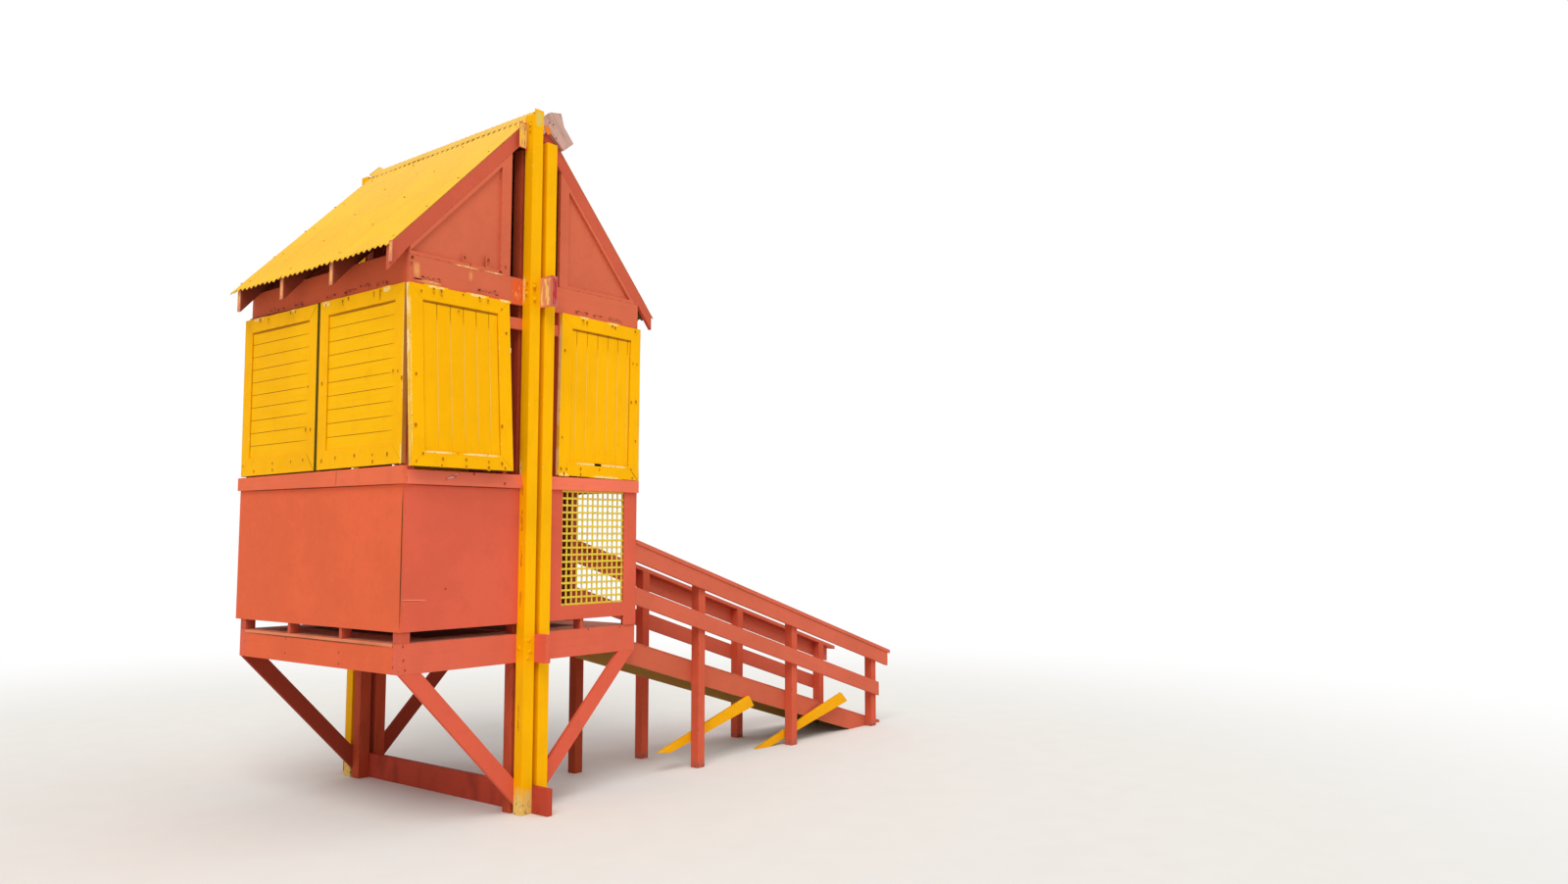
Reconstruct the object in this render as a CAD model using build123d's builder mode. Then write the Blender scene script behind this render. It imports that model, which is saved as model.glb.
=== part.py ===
from build123d import *
import math
import os

# Cabin and platform
cabin_w = 2440
cabin_d = 2340
rim_bottom = 1205
rim_top = 1435
deck_t = 28
joist_h = 184
board_t = 38
beam_t = 50
corner_post = 88
corner_block = 50

# Walls, heights from the ground
panel_bottom = 1520
panel_top = 2625
panel_t = 12
panel_reach = 65
sill_top = 2735
left_sill_rise = 28
sill_plate_h = 38
lintel_bottom = 4150
lintel_top = 4375
header_bottom = 3945
header_top = 4040
stud_shares = (0.33, 0.655)
slot_half = 265
stub_x = (560, 600)

# Posts in the middle of the gable walls, heights counted down from the ridge
post_w = 108
post_d = 100
tall_post_drop = 78
short_post_drop = 282
inner_post_drop = 362
sill_beam_h = 215
beam_overhang = 240
sill_overhang = 290
brace_w = 135
brace_pitch = math.radians(46)
brace_inset = 8

# Roof, which sinks a little towards the rear
ridge_rise = 1479
rear_drop = 65
left_pitch = math.radians(45.7)
right_pitch = math.radians(47.9)
rafter_h = 140
rafter_shares = (0.32, 0.637, 0.936)
rake_h = 112
tail_reach = 180
left_tail_h = 195
right_tail_h = 138
sheet_reach = 206
sheet_t = 4
sheet_gap = 3
wave_count = 32
wave_h = 16
wave_steps = 6
cap_wing = 165
cap_t = 4
ridge_beam_h = 185
gable_stile = 100
gable_strip = 30
ridge_board_top = ((33, -42), (107, 19), (223, 42), (259, -68), (371, -188))
ridge_board_foot = ((256, -283), (80, -146), (37, -198))

# Lattice
lattice_left = 330
lattice_right = 1062
lattice_bottom = 1641
lattice_cells = 12
lattice_rows = 16
lattice_bar = 18
lattice_t = 10
lattice_lap = 10

# Shutters
shutter_t = 38
shutter_frame = 118
shutter_foot = 150
shutter_recess = 16
side_shutter_w = 1165
side_shutter_h = 1375
side_shutter_gap = 42
shutter_play = 2
near_shutter_lift = 2
far_shutter_drop = 14
side_lean = 0.7
end_shutter_w = 948
end_shutter_h = 1400
open_shutter_edge = 1246
open_angle = 3.7
right_lean = 0.8
door_shutter_h = 1470
door_shutter_drop = 50

# Ramp
ramp_top_z = 1275
ramp_fall = 0.297
stringer_h = 193
ramp_deck_t = 20
ramp_toe_h = 1
ramp_post = 95
landing_gap = 16
ramp_post_x = (2125, 3625, 5180)
ramp_set_out = 12
ramp_w = 930
rail_top_z = 2200
rail_fall = 0.311
rail_cap_h = 40
rail_cap_w = 140
rail_cap_lip = 10
side_rail_h = 155
mid_rail_drop = 430
mid_rail_h = 158
rail_past_post = 245
side_rail_past_post = 205
mid_rail_past_post = 10
brace_skews = (3.4, 9.3)
low_brace = ((-514, 192), (-361, 171), (823, 483), (748, 591))
high_brace = ((-505, 0), (-299, 0), (898, 363), (803, 464))

# Derived positions
half_w = cabin_w / 2
half_d = cabin_d / 2
gap_face = half_d - board_t
outer_face = half_d + post_d
inner_face = gap_face - post_d
post_in = beam_t / 2
post_out = post_in + post_w
post_inside = half_w - corner_post
wall_inside_y = half_d - corner_post
deck_bottom = rim_top - deck_t
plate_bottom = sill_top - sill_plate_h
ridge_z = lintel_top + ridge_rise
pitch = {-1: left_pitch, 1: right_pitch}
tail_h = {-1: left_tail_h, 1: right_tail_h}


def board(x, y, z):
    """Straight board that fills the given ranges of x, y and z."""
    with BuildSketch(Plane.XY.offset(z[0])) as outline:
        with Locations(((x[0] + x[1]) / 2, (y[0] + y[1]) / 2)):
            Rectangle(x[1] - x[0], y[1] - y[0])
    extrude(outline.sketch, amount=z[1] - z[0])


def gable_board(points, y, mode=Mode.ADD):
    """Board with an outline in the X-Z plane that fills the range y."""
    with BuildSketch(Plane.XZ.offset(-y[1])) as outline:
        with BuildLine():
            Polyline(points, close=True)
        make_face()
    extrude(outline.sketch, amount=y[1] - y[0], mode=mode)


def drop(y):
    """How far the roof has sunk at y."""
    return rear_drop * (y + half_d) / cabin_d


def upright(side, depth):
    """Plumb height of a rafter on one side of the roof."""
    return depth / math.cos(pitch[side])


def roof_line(side, x, y):
    """Height of the rafters' upper edge at the distance x from the ridge."""
    return ridge_z - drop(y) - x * math.tan(pitch[side])


def band_top(side, y):
    """Height of the long walls' top band."""
    return roof_line(side, half_w - board_t / 2, y) - upright(side, rafter_h)


def end_ranges(end, near, far):
    """Range of y between two distances from the middle at one end."""
    return sorted((end * near, end * far))


# Posts: pairs outside and inside each gable wall
with BuildPart() as outer_posts:
    for end in (-1, 1):
        y = end_ranges(end, half_d, outer_face)
        top = ridge_z - drop(end * half_d)
        board((-post_out, -post_in), y, (0, top - tall_post_drop))
        board((post_in, post_out), y, (0, top - short_post_drop))

with BuildPart() as inner_posts:
    for end in (-1, 1):
        for side in (-1, 1):
            x = sorted((side * post_in, side * post_out))
            top = ridge_z - drop(end * half_d) - inner_post_drop
            board(x, end_ranges(end, gap_face, inner_face), (0, top))

# Beams that run through the middle of both gable walls
sill_reach = half_d + sill_overhang
with BuildPart() as ground_sill:
    board((-post_in, post_in), (-sill_reach, sill_reach), (0, sill_beam_h))

beam_reach = half_d + beam_overhang
with BuildPart() as floor_beam:
    board((-post_in, post_in), (-beam_reach, beam_reach), (rim_bottom, rim_top))

with BuildPart() as eave_beam:
    board((-post_in, post_in), (-beam_reach, beam_reach), (lintel_bottom, lintel_top))

with BuildPart() as ridge_beam:
    ridge_top = roof_line(1, post_in, -half_d)
    with BuildSketch(Plane.YZ.offset(-post_in)) as outline:
        with BuildLine():
            Polyline(
                (-half_d, ridge_top),
                (half_d, ridge_top - rear_drop),
                (half_d, ridge_top - rear_drop - ridge_beam_h),
                (-half_d, ridge_top - ridge_beam_h),
                close=True,
            )
        make_face()
    extrude(outline.sketch, amount=beam_t)

# Diagonal braces in the plane of the platform edge boards
brace_rise = math.tan(brace_pitch)
brace_top_w = brace_w / math.sin(brace_pitch)
brace_start = half_w - brace_inset
with BuildPart() as braces:
    for end in (-1, 1):
        for side in (-1, 1):
            toe_x = brace_start - rim_bottom / brace_rise
            head_x = brace_start - brace_top_w
            heel_z = rim_bottom - (head_x - post_in) * brace_rise
            points = [
                (brace_start, rim_bottom),
                (head_x, rim_bottom),
                (post_in, heel_z),
                (post_in, 0),
                (toe_x, 0),
            ]
            gable_board([(side * px, pz) for px, pz in points], end_ranges(end, gap_face, half_d))

# Platform edge boards, joists and floor
with BuildPart() as end_rims:
    for end in (-1, 1):
        for side in (-1, 1):
            x = sorted((side * post_in, side * half_w))
            board(x, end_ranges(end, gap_face, half_d), (rim_bottom, rim_top))
            x = sorted((side * (half_w - corner_block), side * half_w))
            board(x, end_ranges(end, gap_face - corner_block, gap_face), (rim_bottom, rim_top))

side_rim_y = gap_face - corner_block
with BuildPart() as side_rims:
    for side in (-1, 1):
        x = sorted((side * (half_w - board_t), side * half_w))
        board(x, (-side_rim_y, side_rim_y), (rim_bottom, rim_top))

with BuildPart() as floor_joists:
    for row in (-1, 0, 1):
        y = row * cabin_d / 4
        for side in (-1, 1):
            x = sorted((side * post_in, side * (half_w - board_t)))
            board(x, (y - board_t / 2, y + board_t / 2), (deck_bottom - joist_h, deck_bottom))

with BuildPart() as deck:
    for side in (-1, 1):
        with BuildSketch(Plane.XY.offset(deck_bottom)) as outline:
            reach = half_w - board_t
            with Locations((side * (reach + post_in) / 2, 0)):
                Rectangle(reach - post_in, 2 * gap_face)
            with Locations(
                (side * (post_in + post_out) / 2, (gap_face + inner_face) / 2),
                (side * (post_in + post_out) / 2, -(gap_face + inner_face) / 2),
            ):
                Rectangle(post_w, post_d, mode=Mode.SUBTRACT)
            corner = corner_block - board_t
            with Locations(
                (side * (reach - corner / 2), gap_face - corner_block / 2),
                (side * (reach - corner / 2), -gap_face + corner_block / 2),
            ):
                Rectangle(corner, corner_block, mode=Mode.SUBTRACT)
        extrude(outline.sketch, amount=deck_t)

# Ramp positions that the doorway shares
near_edge_y = -half_d - ramp_set_out
far_edge_y = near_edge_y + ramp_w
near_post_y = (near_edge_y + board_t, near_edge_y + board_t + ramp_post)
far_post_y = (far_edge_y - board_t - ramp_post, far_edge_y - board_t)
near_string_y = (near_post_y[1], near_post_y[1] + board_t)
far_string_y = (far_post_y[0] - board_t, far_post_y[0])
door_far = far_post_y[0]

with BuildPart() as landing_post:
    board((half_w + landing_gap, half_w + landing_gap + ramp_post), far_post_y, (0, ramp_top_z))

# Wall frame
with BuildPart() as corner_posts:
    for end in (-1, 1):
        for side in (-1, 1):
            x = sorted((side * post_inside, side * half_w))
            board(x, end_ranges(end, wall_inside_y, half_d), (rim_top, lintel_bottom))

with BuildPart() as wall_studs:
    left_x = (-half_w, -post_inside)
    right_x = (post_inside, half_w)
    for share in stud_shares:
        y = -half_d + share * cabin_d
        board(left_x, (y, y + board_t), (rim_top, plate_bottom))
    door_stud_y = -half_d + stud_shares[-1] * cabin_d
    board(right_x, (door_stud_y, door_stud_y + board_t), (rim_top, plate_bottom))
    board(right_x, (door_far, door_far + board_t), (rim_top, lintel_bottom))
    board(left_x, (0, board_t), (sill_top, lintel_bottom))
    board(stub_x, end_ranges(-1, wall_inside_y, half_d), (rim_top, lattice_bottom - lattice_lap))
    for end in (-1, 1):
        for side in (-1, 1):
            x = sorted((side * slot_half, side * (slot_half + board_t)))
            board(x, end_ranges(end, wall_inside_y, half_d), (sill_top, lintel_bottom))

with BuildPart() as side_sills:
    front_y = -half_d - board_t
    rear_y = half_d + panel_reach
    with BuildSketch(Plane.YZ.offset(-half_w - board_t)) as outline:
        with BuildLine():
            Polyline(
                (front_y, panel_top),
                (rear_y, panel_top),
                (rear_y, sill_top),
                (front_y, sill_top + left_sill_rise),
                close=True,
            )
        make_face()
    extrude(outline.sketch, amount=board_t)
    board((half_w, half_w + board_t), (door_far, rear_y), (panel_top, sill_top))
    board((-half_w, -post_inside), (-wall_inside_y, wall_inside_y), (plate_bottom, sill_top))
    board((post_inside, half_w), (door_far + board_t, wall_inside_y), (plate_bottom, sill_top))

with BuildPart() as end_sills:
    for end in (-1, 1):
        for side in (-1, 1):
            x = sorted((side * post_out, side * half_w))
            board(x, end_ranges(end, half_d, half_d + board_t), (panel_top, sill_top))
            x = sorted((side * post_out, side * post_inside))
            board(x, end_ranges(end, gap_face, half_d), (plate_bottom, sill_top))

with BuildPart() as lintels:
    for end in (-1, 1):
        for side in (-1, 1):
            x = sorted((side * post_in, side * half_w))
            y = end_ranges(end, gap_face, half_d)
            board(x, y, (lintel_bottom, lintel_top - drop(end * half_d)))
            x = sorted((side * post_in, side * slot_half))
            board(x, y, (header_bottom, header_top))

with BuildPart() as top_bands:
    for side in (-1, 1):
        with BuildSketch(Plane.YZ.offset(side * half_w - board_t * (side + 1) / 2)) as outline:
            with BuildLine():
                Polyline(
                    (-gap_face, lintel_bottom),
                    (gap_face, lintel_bottom),
                    (gap_face, band_top(side, gap_face)),
                    (-gap_face, band_top(side, -gap_face)),
                    close=True,
                )
            make_face()
        extrude(outline.sketch, amount=board_t)

# Lower wall sheets; the strip below them stays open
with BuildPart() as left_panel:
    x = (-half_w - panel_t, -half_w)
    board(x, (-half_d - panel_t, half_d + panel_reach), (panel_bottom, panel_top))

with BuildPart() as front_panel:
    board((-half_w, -post_out), (-half_d - panel_t, -half_d), (panel_bottom, panel_top))

with BuildPart() as right_panel:
    board((half_w, half_w + panel_t), (door_far, half_d + panel_reach), (panel_bottom, panel_top))

with BuildPart() as rear_panels:
    for side in (-1, 1):
        x = sorted((side * post_out, side * half_w))
        board(x, (half_d, half_d + panel_t), (panel_bottom, panel_top))

# Lattice in the right half of the front wall
with BuildPart() as lattice_frame:
    points = [
        (post_out, panel_bottom),
        (lattice_right, panel_bottom),
        (lattice_right, rim_top),
        (half_w, rim_top),
        (half_w, panel_top),
        (lattice_right, panel_top),
        (lattice_right, lattice_bottom),
        (lattice_left, lattice_bottom),
        (lattice_left, panel_top),
        (post_out, panel_top),
    ]
    gable_board(points, (-half_d - panel_t, -half_d))

lattice_w = lattice_right - lattice_left
lattice_h = panel_top - lattice_bottom
cell_w = (lattice_w - lattice_bar) / lattice_cells
cell_h = (lattice_h - lattice_bar) / lattice_rows
with BuildPart() as lattice:
    with BuildSketch(Plane.XZ.offset(half_d - lattice_t)) as mesh:
        with Locations(((lattice_left + lattice_right) / 2, (lattice_bottom + panel_top) / 2)):
            Rectangle(lattice_w + 2 * lattice_lap, lattice_h + 2 * lattice_lap)
            with GridLocations(cell_w, cell_h, lattice_cells, lattice_rows):
                Rectangle(cell_w - lattice_bar, cell_h - lattice_bar, mode=Mode.SUBTRACT)
    extrude(mesh.sketch, amount=lattice_t)


def shutter(width, height, foot, plane):
    """Framed shutter on a plane at its upper left corner: x along the edge, z outwards."""
    with BuildSketch(plane) as leaf:
        with Locations((width / 2, -height / 2)):
            Rectangle(width, height)
    extrude(leaf.sketch, amount=shutter_t)
    field_h = height - shutter_frame - foot
    with BuildSketch(plane.offset(shutter_t)) as field:
        with Locations((width / 2, -shutter_frame - field_h / 2)):
            Rectangle(width - 2 * shutter_frame, field_h)
    extrude(field.sketch, amount=-shutter_recess, mode=Mode.SUBTRACT)


def side_plane(side, y, top):
    """Plane of a shutter on a long wall, hung by its corner nearest the front."""
    turn = math.radians(side_lean)
    if side > 0:
        return Plane(origin=(half_w, y, top), x_dir=(0, 1, 0), z_dir=(1, 0, 0))
    along = (0, -math.cos(turn), math.sin(turn))
    start = (-half_w, y + side_shutter_w * math.cos(turn), top - side_shutter_w * math.sin(turn))
    return Plane(origin=start, x_dir=along, z_dir=(-1, 0, 0))


def end_plane(end, x, lean, turn):
    """Plane of a shutter on a gable wall, its foot standing out by lean and its edge falling by turn."""
    out = math.radians(lean)
    fall = math.radians(turn)
    normal = (0, end * math.cos(out), math.sin(out))
    along = (-end * math.cos(fall), 0, -math.sin(fall))
    return Plane(origin=(x, end * half_d, lintel_bottom), x_dir=along, z_dir=normal)


# Shutters, hung from the lintels and top bands
near_y = -half_d + shutter_play
far_y = near_y + side_shutter_w + side_shutter_gap
with BuildPart() as left_far_shutter:
    top = lintel_bottom - far_shutter_drop
    shutter(side_shutter_w, side_shutter_h, shutter_foot, side_plane(-1, far_y, top))

with BuildPart() as left_near_shutter:
    top = lintel_bottom + near_shutter_lift
    shutter(side_shutter_w, side_shutter_h, shutter_foot, side_plane(-1, near_y, top))

with BuildPart() as front_left_shutter:
    plane = end_plane(-1, -open_shutter_edge, open_angle, 0)
    shutter(end_shutter_w, end_shutter_h, shutter_frame, plane)

right_start = slot_half + board_t / 4
with BuildPart() as front_right_shutter:
    shutter(end_shutter_w, end_shutter_h, shutter_frame, end_plane(-1, right_start, 0, right_lean))

with BuildPart() as right_shutters:
    top = lintel_bottom - door_shutter_drop
    shutter(door_far - near_y, door_shutter_h, shutter_foot, side_plane(1, near_y, top))
    start = door_far + side_shutter_gap
    shutter(half_d - start, side_shutter_h - door_shutter_drop, shutter_foot, side_plane(1, start, top))

with BuildPart() as rear_shutters:
    for start in (half_w, end_shutter_w - half_w):
        shutter(end_shutter_w, end_shutter_h, shutter_frame, end_plane(1, start, 0, 0))

# Triangular boards above the lintels, with a recessed field
with BuildPart() as gable_panels:
    for end in (-1, 1):
        base = lintel_top - drop(end * half_d)
        y = end_ranges(end, gap_face, half_d)
        field_y = end_ranges(end, gap_face + panel_t, half_d)
        for side in (-1, 1):
            slope = math.tan(pitch[side])
            edge = ridge_z - drop(y[1]) - upright(side, rake_h)
            eave_x = min(half_w, (edge - base) / slope)
            points = [
                (eave_x, base),
                (slot_half, base),
                (slot_half, edge - slot_half * slope),
                (eave_x, max(base, edge - eave_x * slope)),
            ]
            if eave_x < half_w:
                points.pop()
            gable_board([(side * px, pz) for px, pz in points], y)
            field_in = slot_half + gable_stile
            field_z = base + gable_strip
            line = edge - upright(side, gable_strip)
            points = [
                ((line - field_z) / slope, field_z),
                (field_in, field_z),
                (field_in, line - field_in * slope),
            ]
            gable_board([(side * px, pz) for px, pz in points], field_y, mode=Mode.SUBTRACT)


def rafter(side, y, depth, seat, reach):
    """One rafter with a plumb tail that reaches past the wall and a level seat on the wall."""
    slope = math.tan(pitch[side])
    tail = half_w + reach
    rear = y[1]
    under = ridge_z - drop(rear) - upright(side, depth)
    toe = min(half_w, (under - seat) / slope)
    points = [
        (post_in, roof_line(side, post_in, rear)),
        (tail, roof_line(side, tail, rear)),
        (tail, roof_line(side, tail, rear) - tail_h[side]),
        (half_w, max(seat, under - half_w * slope)),
        (toe, max(seat, under - toe * slope)),
        (post_in, under - post_in * slope),
    ]
    if toe == half_w:
        points.pop(4)
    gable_board([(side * px, pz) for px, pz in points], y)


# Rafters, with the gable ones in the plane between the posts
with BuildPart() as rafters:
    for share in rafter_shares:
        y = -half_d + share * cabin_d
        for side in (-1, 1):
            rafter(side, (y, y + board_t), rafter_h, band_top(side, y), tail_reach)

with BuildPart() as rake_boards:
    for end, reach in ((-1, tail_reach), (1, board_t)):
        for side in (-1, 1):
            seat = lintel_top - drop(end * half_d)
            rafter(side, end_ranges(end, gap_face, half_d), rake_h, seat, reach)


def wave(lift):
    """Points of one face of the corrugated sheet, from the front to the rear."""
    count = wave_count * wave_steps
    points = []
    for i in range(count + 1):
        along = -half_d + cabin_d * i / count
        rise = wave_h / 2 * (1 - math.cos(2 * math.pi * i / wave_steps))
        points.append((along, ridge_z - drop(along) + lift + rise))
    return points


def roof_sheet(side):
    """Corrugated sheet that lies on the rafters of one side."""
    slope = math.tan(pitch[side])
    run = half_w + sheet_reach - sheet_gap
    lower = [(along, height - sheet_gap * slope) for along, height in wave(0)]
    upper = [(along, height - sheet_gap * slope) for along, height in wave(upright(side, sheet_t))]
    with BuildSketch(Plane.YZ.offset(side * sheet_gap)) as section:
        with BuildLine():
            Polyline(lower + upper[::-1], close=True)
        make_face()
    extrude(section.sketch, amount=run / math.cos(pitch[side]), dir=(side, 0, -slope))


with BuildPart() as left_roof_sheet:
    roof_sheet(-1)

with BuildPart() as right_roof_sheet:
    roof_sheet(1)

with BuildPart() as ridge_cap:
    under = ridge_z + wave_h + upright(1, sheet_t)
    wings = {side: cap_wing * math.cos(pitch[side]) for side in (-1, 1)}
    falls = {side: cap_wing * math.sin(pitch[side]) for side in (-1, 1)}
    cap_rise = upright(1, cap_t)
    with BuildSketch(Plane.XZ.offset(half_d)) as outline:
        with BuildLine():
            Polyline(
                (0, under),
                (wings[1], under - falls[1]),
                (wings[1], under - falls[1] + cap_rise),
                (0, under + cap_rise),
                (-wings[-1], under - falls[-1] + cap_rise),
                (-wings[-1], under - falls[-1]),
                close=True,
            )
        make_face()
    length = math.hypot(cabin_d, rear_drop)
    extrude(outline.sketch, amount=length, dir=(0, cabin_d, -rear_drop))

# Short weathered board that stands above the right front slope
with BuildPart() as ridge_board:
    points = [(px, ridge_z + pz) for px, pz in ridge_board_top + ridge_board_foot]
    top = (-post_in, ridge_z - tall_post_drop)
    low = (-post_in, ridge_z - tall_post_drop - post_w)
    gable_board([top] + points + [low], (-half_d - board_t, -half_d))


def ramp_z(x):
    """Height of the stringers' upper edge at x."""
    return ramp_top_z - ramp_fall * (x - half_w)


def rail_z(x):
    """Height of the handrail's top at x."""
    return rail_top_z - rail_fall * (x - half_w)


# Ramp: rail boards outside the posts, stringers inside them
ramp_end_x = half_w + (ramp_top_z - ramp_toe_h) / ramp_fall
with BuildPart() as ramp_stringers:
    ground_x = half_w + (ramp_top_z - stringer_h) / ramp_fall
    for y in (near_string_y, far_string_y):
        points = [
            (half_w, ramp_z(half_w)),
            (ramp_end_x, ramp_toe_h),
            (ramp_end_x, 0),
            (ground_x, 0),
            (half_w, ramp_z(half_w) - stringer_h),
        ]
        gable_board(points, y)

with BuildPart() as ramp_deck:
    points = [
        (half_w, ramp_top_z),
        (half_w, ramp_top_z + ramp_deck_t),
        (ramp_end_x, ramp_toe_h + ramp_deck_t),
        (ramp_end_x, ramp_toe_h),
    ]
    gable_board(points, (near_string_y[0], far_string_y[1]))

with BuildPart() as ramp_posts:
    for y in (near_post_y, far_post_y):
        for x in ramp_post_x:
            points = [
                (x, 0),
                (x + ramp_post, 0),
                (x + ramp_post, rail_z(x + ramp_post) - rail_cap_h),
                (x, rail_z(x) - rail_cap_h),
            ]
            gable_board(points, y)


def rail(start, past_post, below, height, y):
    """Sloping rail from start to a little past the last post, its upper edge below the handrail's top."""
    stop = ramp_post_x[-1] + ramp_post + past_post
    points = [
        (start, rail_z(start) - below),
        (stop, rail_z(stop) - below),
        (stop, rail_z(stop) - below - height),
        (start, rail_z(start) - below - height),
    ]
    gable_board(points, y)


rail_start = (half_w, half_w + panel_t)
with BuildPart() as rail_caps:
    near_lip = near_edge_y - rail_cap_lip
    far_lip = far_edge_y + rail_cap_lip
    rail(rail_start[0], rail_past_post, 0, rail_cap_h, (near_lip, near_lip + rail_cap_w))
    rail(rail_start[1], rail_past_post, 0, rail_cap_h, (far_lip - rail_cap_w, far_lip))

with BuildPart() as rail_boards:
    near_side = (near_edge_y, near_post_y[0])
    far_side = (far_post_y[1], far_edge_y)
    for start, y in zip(rail_start, (near_side, far_side)):
        rail(start, side_rail_past_post, rail_cap_h, side_rail_h, y)
        rail(start, mid_rail_past_post, mid_rail_drop, mid_rail_h, y)

# Two diagonal boards that run from behind a near post to the outside of the near stringer
with BuildPart() as ramp_braces:
    for post_x, skew, outline in (
        (ramp_post_x[0], brace_skews[0], low_brace),
        (ramp_post_x[1], brace_skews[1], high_brace),
    ):
        turn = math.radians(skew)
        corner = (post_x + ramp_post, near_post_y[1], 0)
        along = (math.cos(turn), -math.sin(turn), 0)
        outward = (-math.sin(turn), -math.cos(turn), 0)
        with BuildSketch(Plane(origin=corner, x_dir=along, z_dir=outward)) as side:
            with BuildLine():
                Polyline(outline, close=True)
            make_face()
        extrude(side.sketch, amount=-board_t)

pieces = {
    "outer_posts": outer_posts,
    "inner_posts": inner_posts,
    "ground_sill": ground_sill,
    "floor_beam": floor_beam,
    "eave_beam": eave_beam,
    "ridge_beam": ridge_beam,
    "braces": braces,
    "landing_post": landing_post,
    "end_rims": end_rims,
    "side_rims": side_rims,
    "floor_joists": floor_joists,
    "deck": deck,
    "corner_posts": corner_posts,
    "wall_studs": wall_studs,
    "side_sills": side_sills,
    "end_sills": end_sills,
    "lintels": lintels,
    "top_bands": top_bands,
    "left_panel": left_panel,
    "front_panel": front_panel,
    "right_panel": right_panel,
    "rear_panels": rear_panels,
    "lattice_frame": lattice_frame,
    "lattice": lattice,
    "left_far_shutter": left_far_shutter,
    "left_near_shutter": left_near_shutter,
    "front_left_shutter": front_left_shutter,
    "front_right_shutter": front_right_shutter,
    "right_shutters": right_shutters,
    "rear_shutters": rear_shutters,
    "gable_panels": gable_panels,
    "rafters": rafters,
    "rake_boards": rake_boards,
    "left_roof_sheet": left_roof_sheet,
    "right_roof_sheet": right_roof_sheet,
    "ridge_cap": ridge_cap,
    "ridge_board": ridge_board,
    "ramp_stringers": ramp_stringers,
    "ramp_deck": ramp_deck,
    "ramp_posts": ramp_posts,
    "rail_caps": rail_caps,
    "rail_boards": rail_boards,
    "ramp_braces": ramp_braces,
}

os.makedirs("parts", exist_ok=True)
for name, piece in pieces.items():
    piece.part.label = name
    export_step(piece.part, f"parts/{name}.step")
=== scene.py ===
"""Finish of a lifeguard tower: painted timber, corrugated roof, lattice, shutters and stage."""

import math
from collections import namedtuple
from types import SimpleNamespace

import bmesh
import bpy
import numpy as np
from mathutils import Matrix, Vector


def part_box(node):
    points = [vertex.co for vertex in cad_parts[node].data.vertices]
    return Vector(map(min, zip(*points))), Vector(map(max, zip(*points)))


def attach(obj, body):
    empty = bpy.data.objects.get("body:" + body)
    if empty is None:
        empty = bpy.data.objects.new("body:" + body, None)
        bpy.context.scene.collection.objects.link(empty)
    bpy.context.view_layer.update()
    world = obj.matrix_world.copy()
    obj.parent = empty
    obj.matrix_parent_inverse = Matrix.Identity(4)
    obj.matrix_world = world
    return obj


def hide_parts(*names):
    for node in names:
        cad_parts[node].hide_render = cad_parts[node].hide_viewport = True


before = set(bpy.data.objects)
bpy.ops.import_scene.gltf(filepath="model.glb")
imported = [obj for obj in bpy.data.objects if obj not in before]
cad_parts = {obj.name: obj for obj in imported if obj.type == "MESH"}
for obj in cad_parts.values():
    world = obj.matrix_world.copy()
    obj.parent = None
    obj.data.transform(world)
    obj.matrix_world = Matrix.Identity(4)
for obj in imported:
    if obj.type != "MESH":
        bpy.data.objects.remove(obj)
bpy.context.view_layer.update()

bl_info = {
    "name": "Lifeguard tower",
    "version": (1, 0, 0),
    "blender": (4, 5, 0),
    "location": "View3D > Sidebar > Tower",
    "description": "Finishes the timber, roof, lattice and shutters of a lifeguard tower",
    "category": "Object",
}

X, Y, Z = np.eye(3)

# Sizes that no box of the frame gives, in metres, but for the pitches
HEADER_DROP = 0.205  # from the lintels' lower edge to that of the lowest header
RIDGE_RISE = 1.479  # from the lintels' upper edge to the ridge
REAR_DROP = 0.065  # of the ridge and the eaves towards the rear
EAVE_REACH = 0.206  # of the roof beyond the wall
PITCH = {-1: math.radians(45.7), 1: math.radians(47.9)}
RAMP_FALL = 0.297  # metres down for each metre along
BOARD_STAND = 0.0385  # of a board's face before the wall
SHEET_STAND = 0.012  # of a lower wall sheet's face before the wall
RAIL = 0.118  # width of a shutter's frame
RECESS = 0.016  # depth of a shutter's field in its frame
CAP_WING, CAP_ROLL = 0.165, 0.03  # reach down the slope of the ridge cap and of its round top

# Walls and roof, taken from the frame
LEFT_WALL, RIGHT_WALL = (corner.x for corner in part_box("top_bands"))
FRONT_WALL, REAR_WALL = (corner.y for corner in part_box("lintels"))
PANEL_BOTTOM, PANEL_TOP = (corner.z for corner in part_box("left_panel"))
LINTEL_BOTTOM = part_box("lintels")[0].z + HEADER_DROP
LINTEL_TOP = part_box("lintels")[1].z
DECK_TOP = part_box("deck")[1].z
DOOR_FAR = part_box("right_panel")[0].y
POST_LEFT, POST_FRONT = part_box("outer_posts")[0].xy
SHUTTER_THICK = LEFT_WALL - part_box("left_near_shutter")[0].x
RIDGE = LINTEL_TOP + RIDGE_RISE
DEPTH = REAR_WALL - FRONT_WALL
SLOPE_REACH = RIGHT_WALL + EAVE_REACH
BOARD_FACE = FRONT_WALL - BOARD_STAND
SHEET_FACE = FRONT_WALL - SHEET_STAND

LINTEL_RED = (0.68, 0.148, 0.072)
# BAND_SHADE darkens the bands under the eaves, a painted shade
BAND_SHADE = 0.88  # of the side walls' paint, under the eaves


def length_property(title, text, value):
    """A length that a user can change."""
    return bpy.props.FloatProperty(name=title, description=text, default=value, unit="LENGTH")


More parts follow.
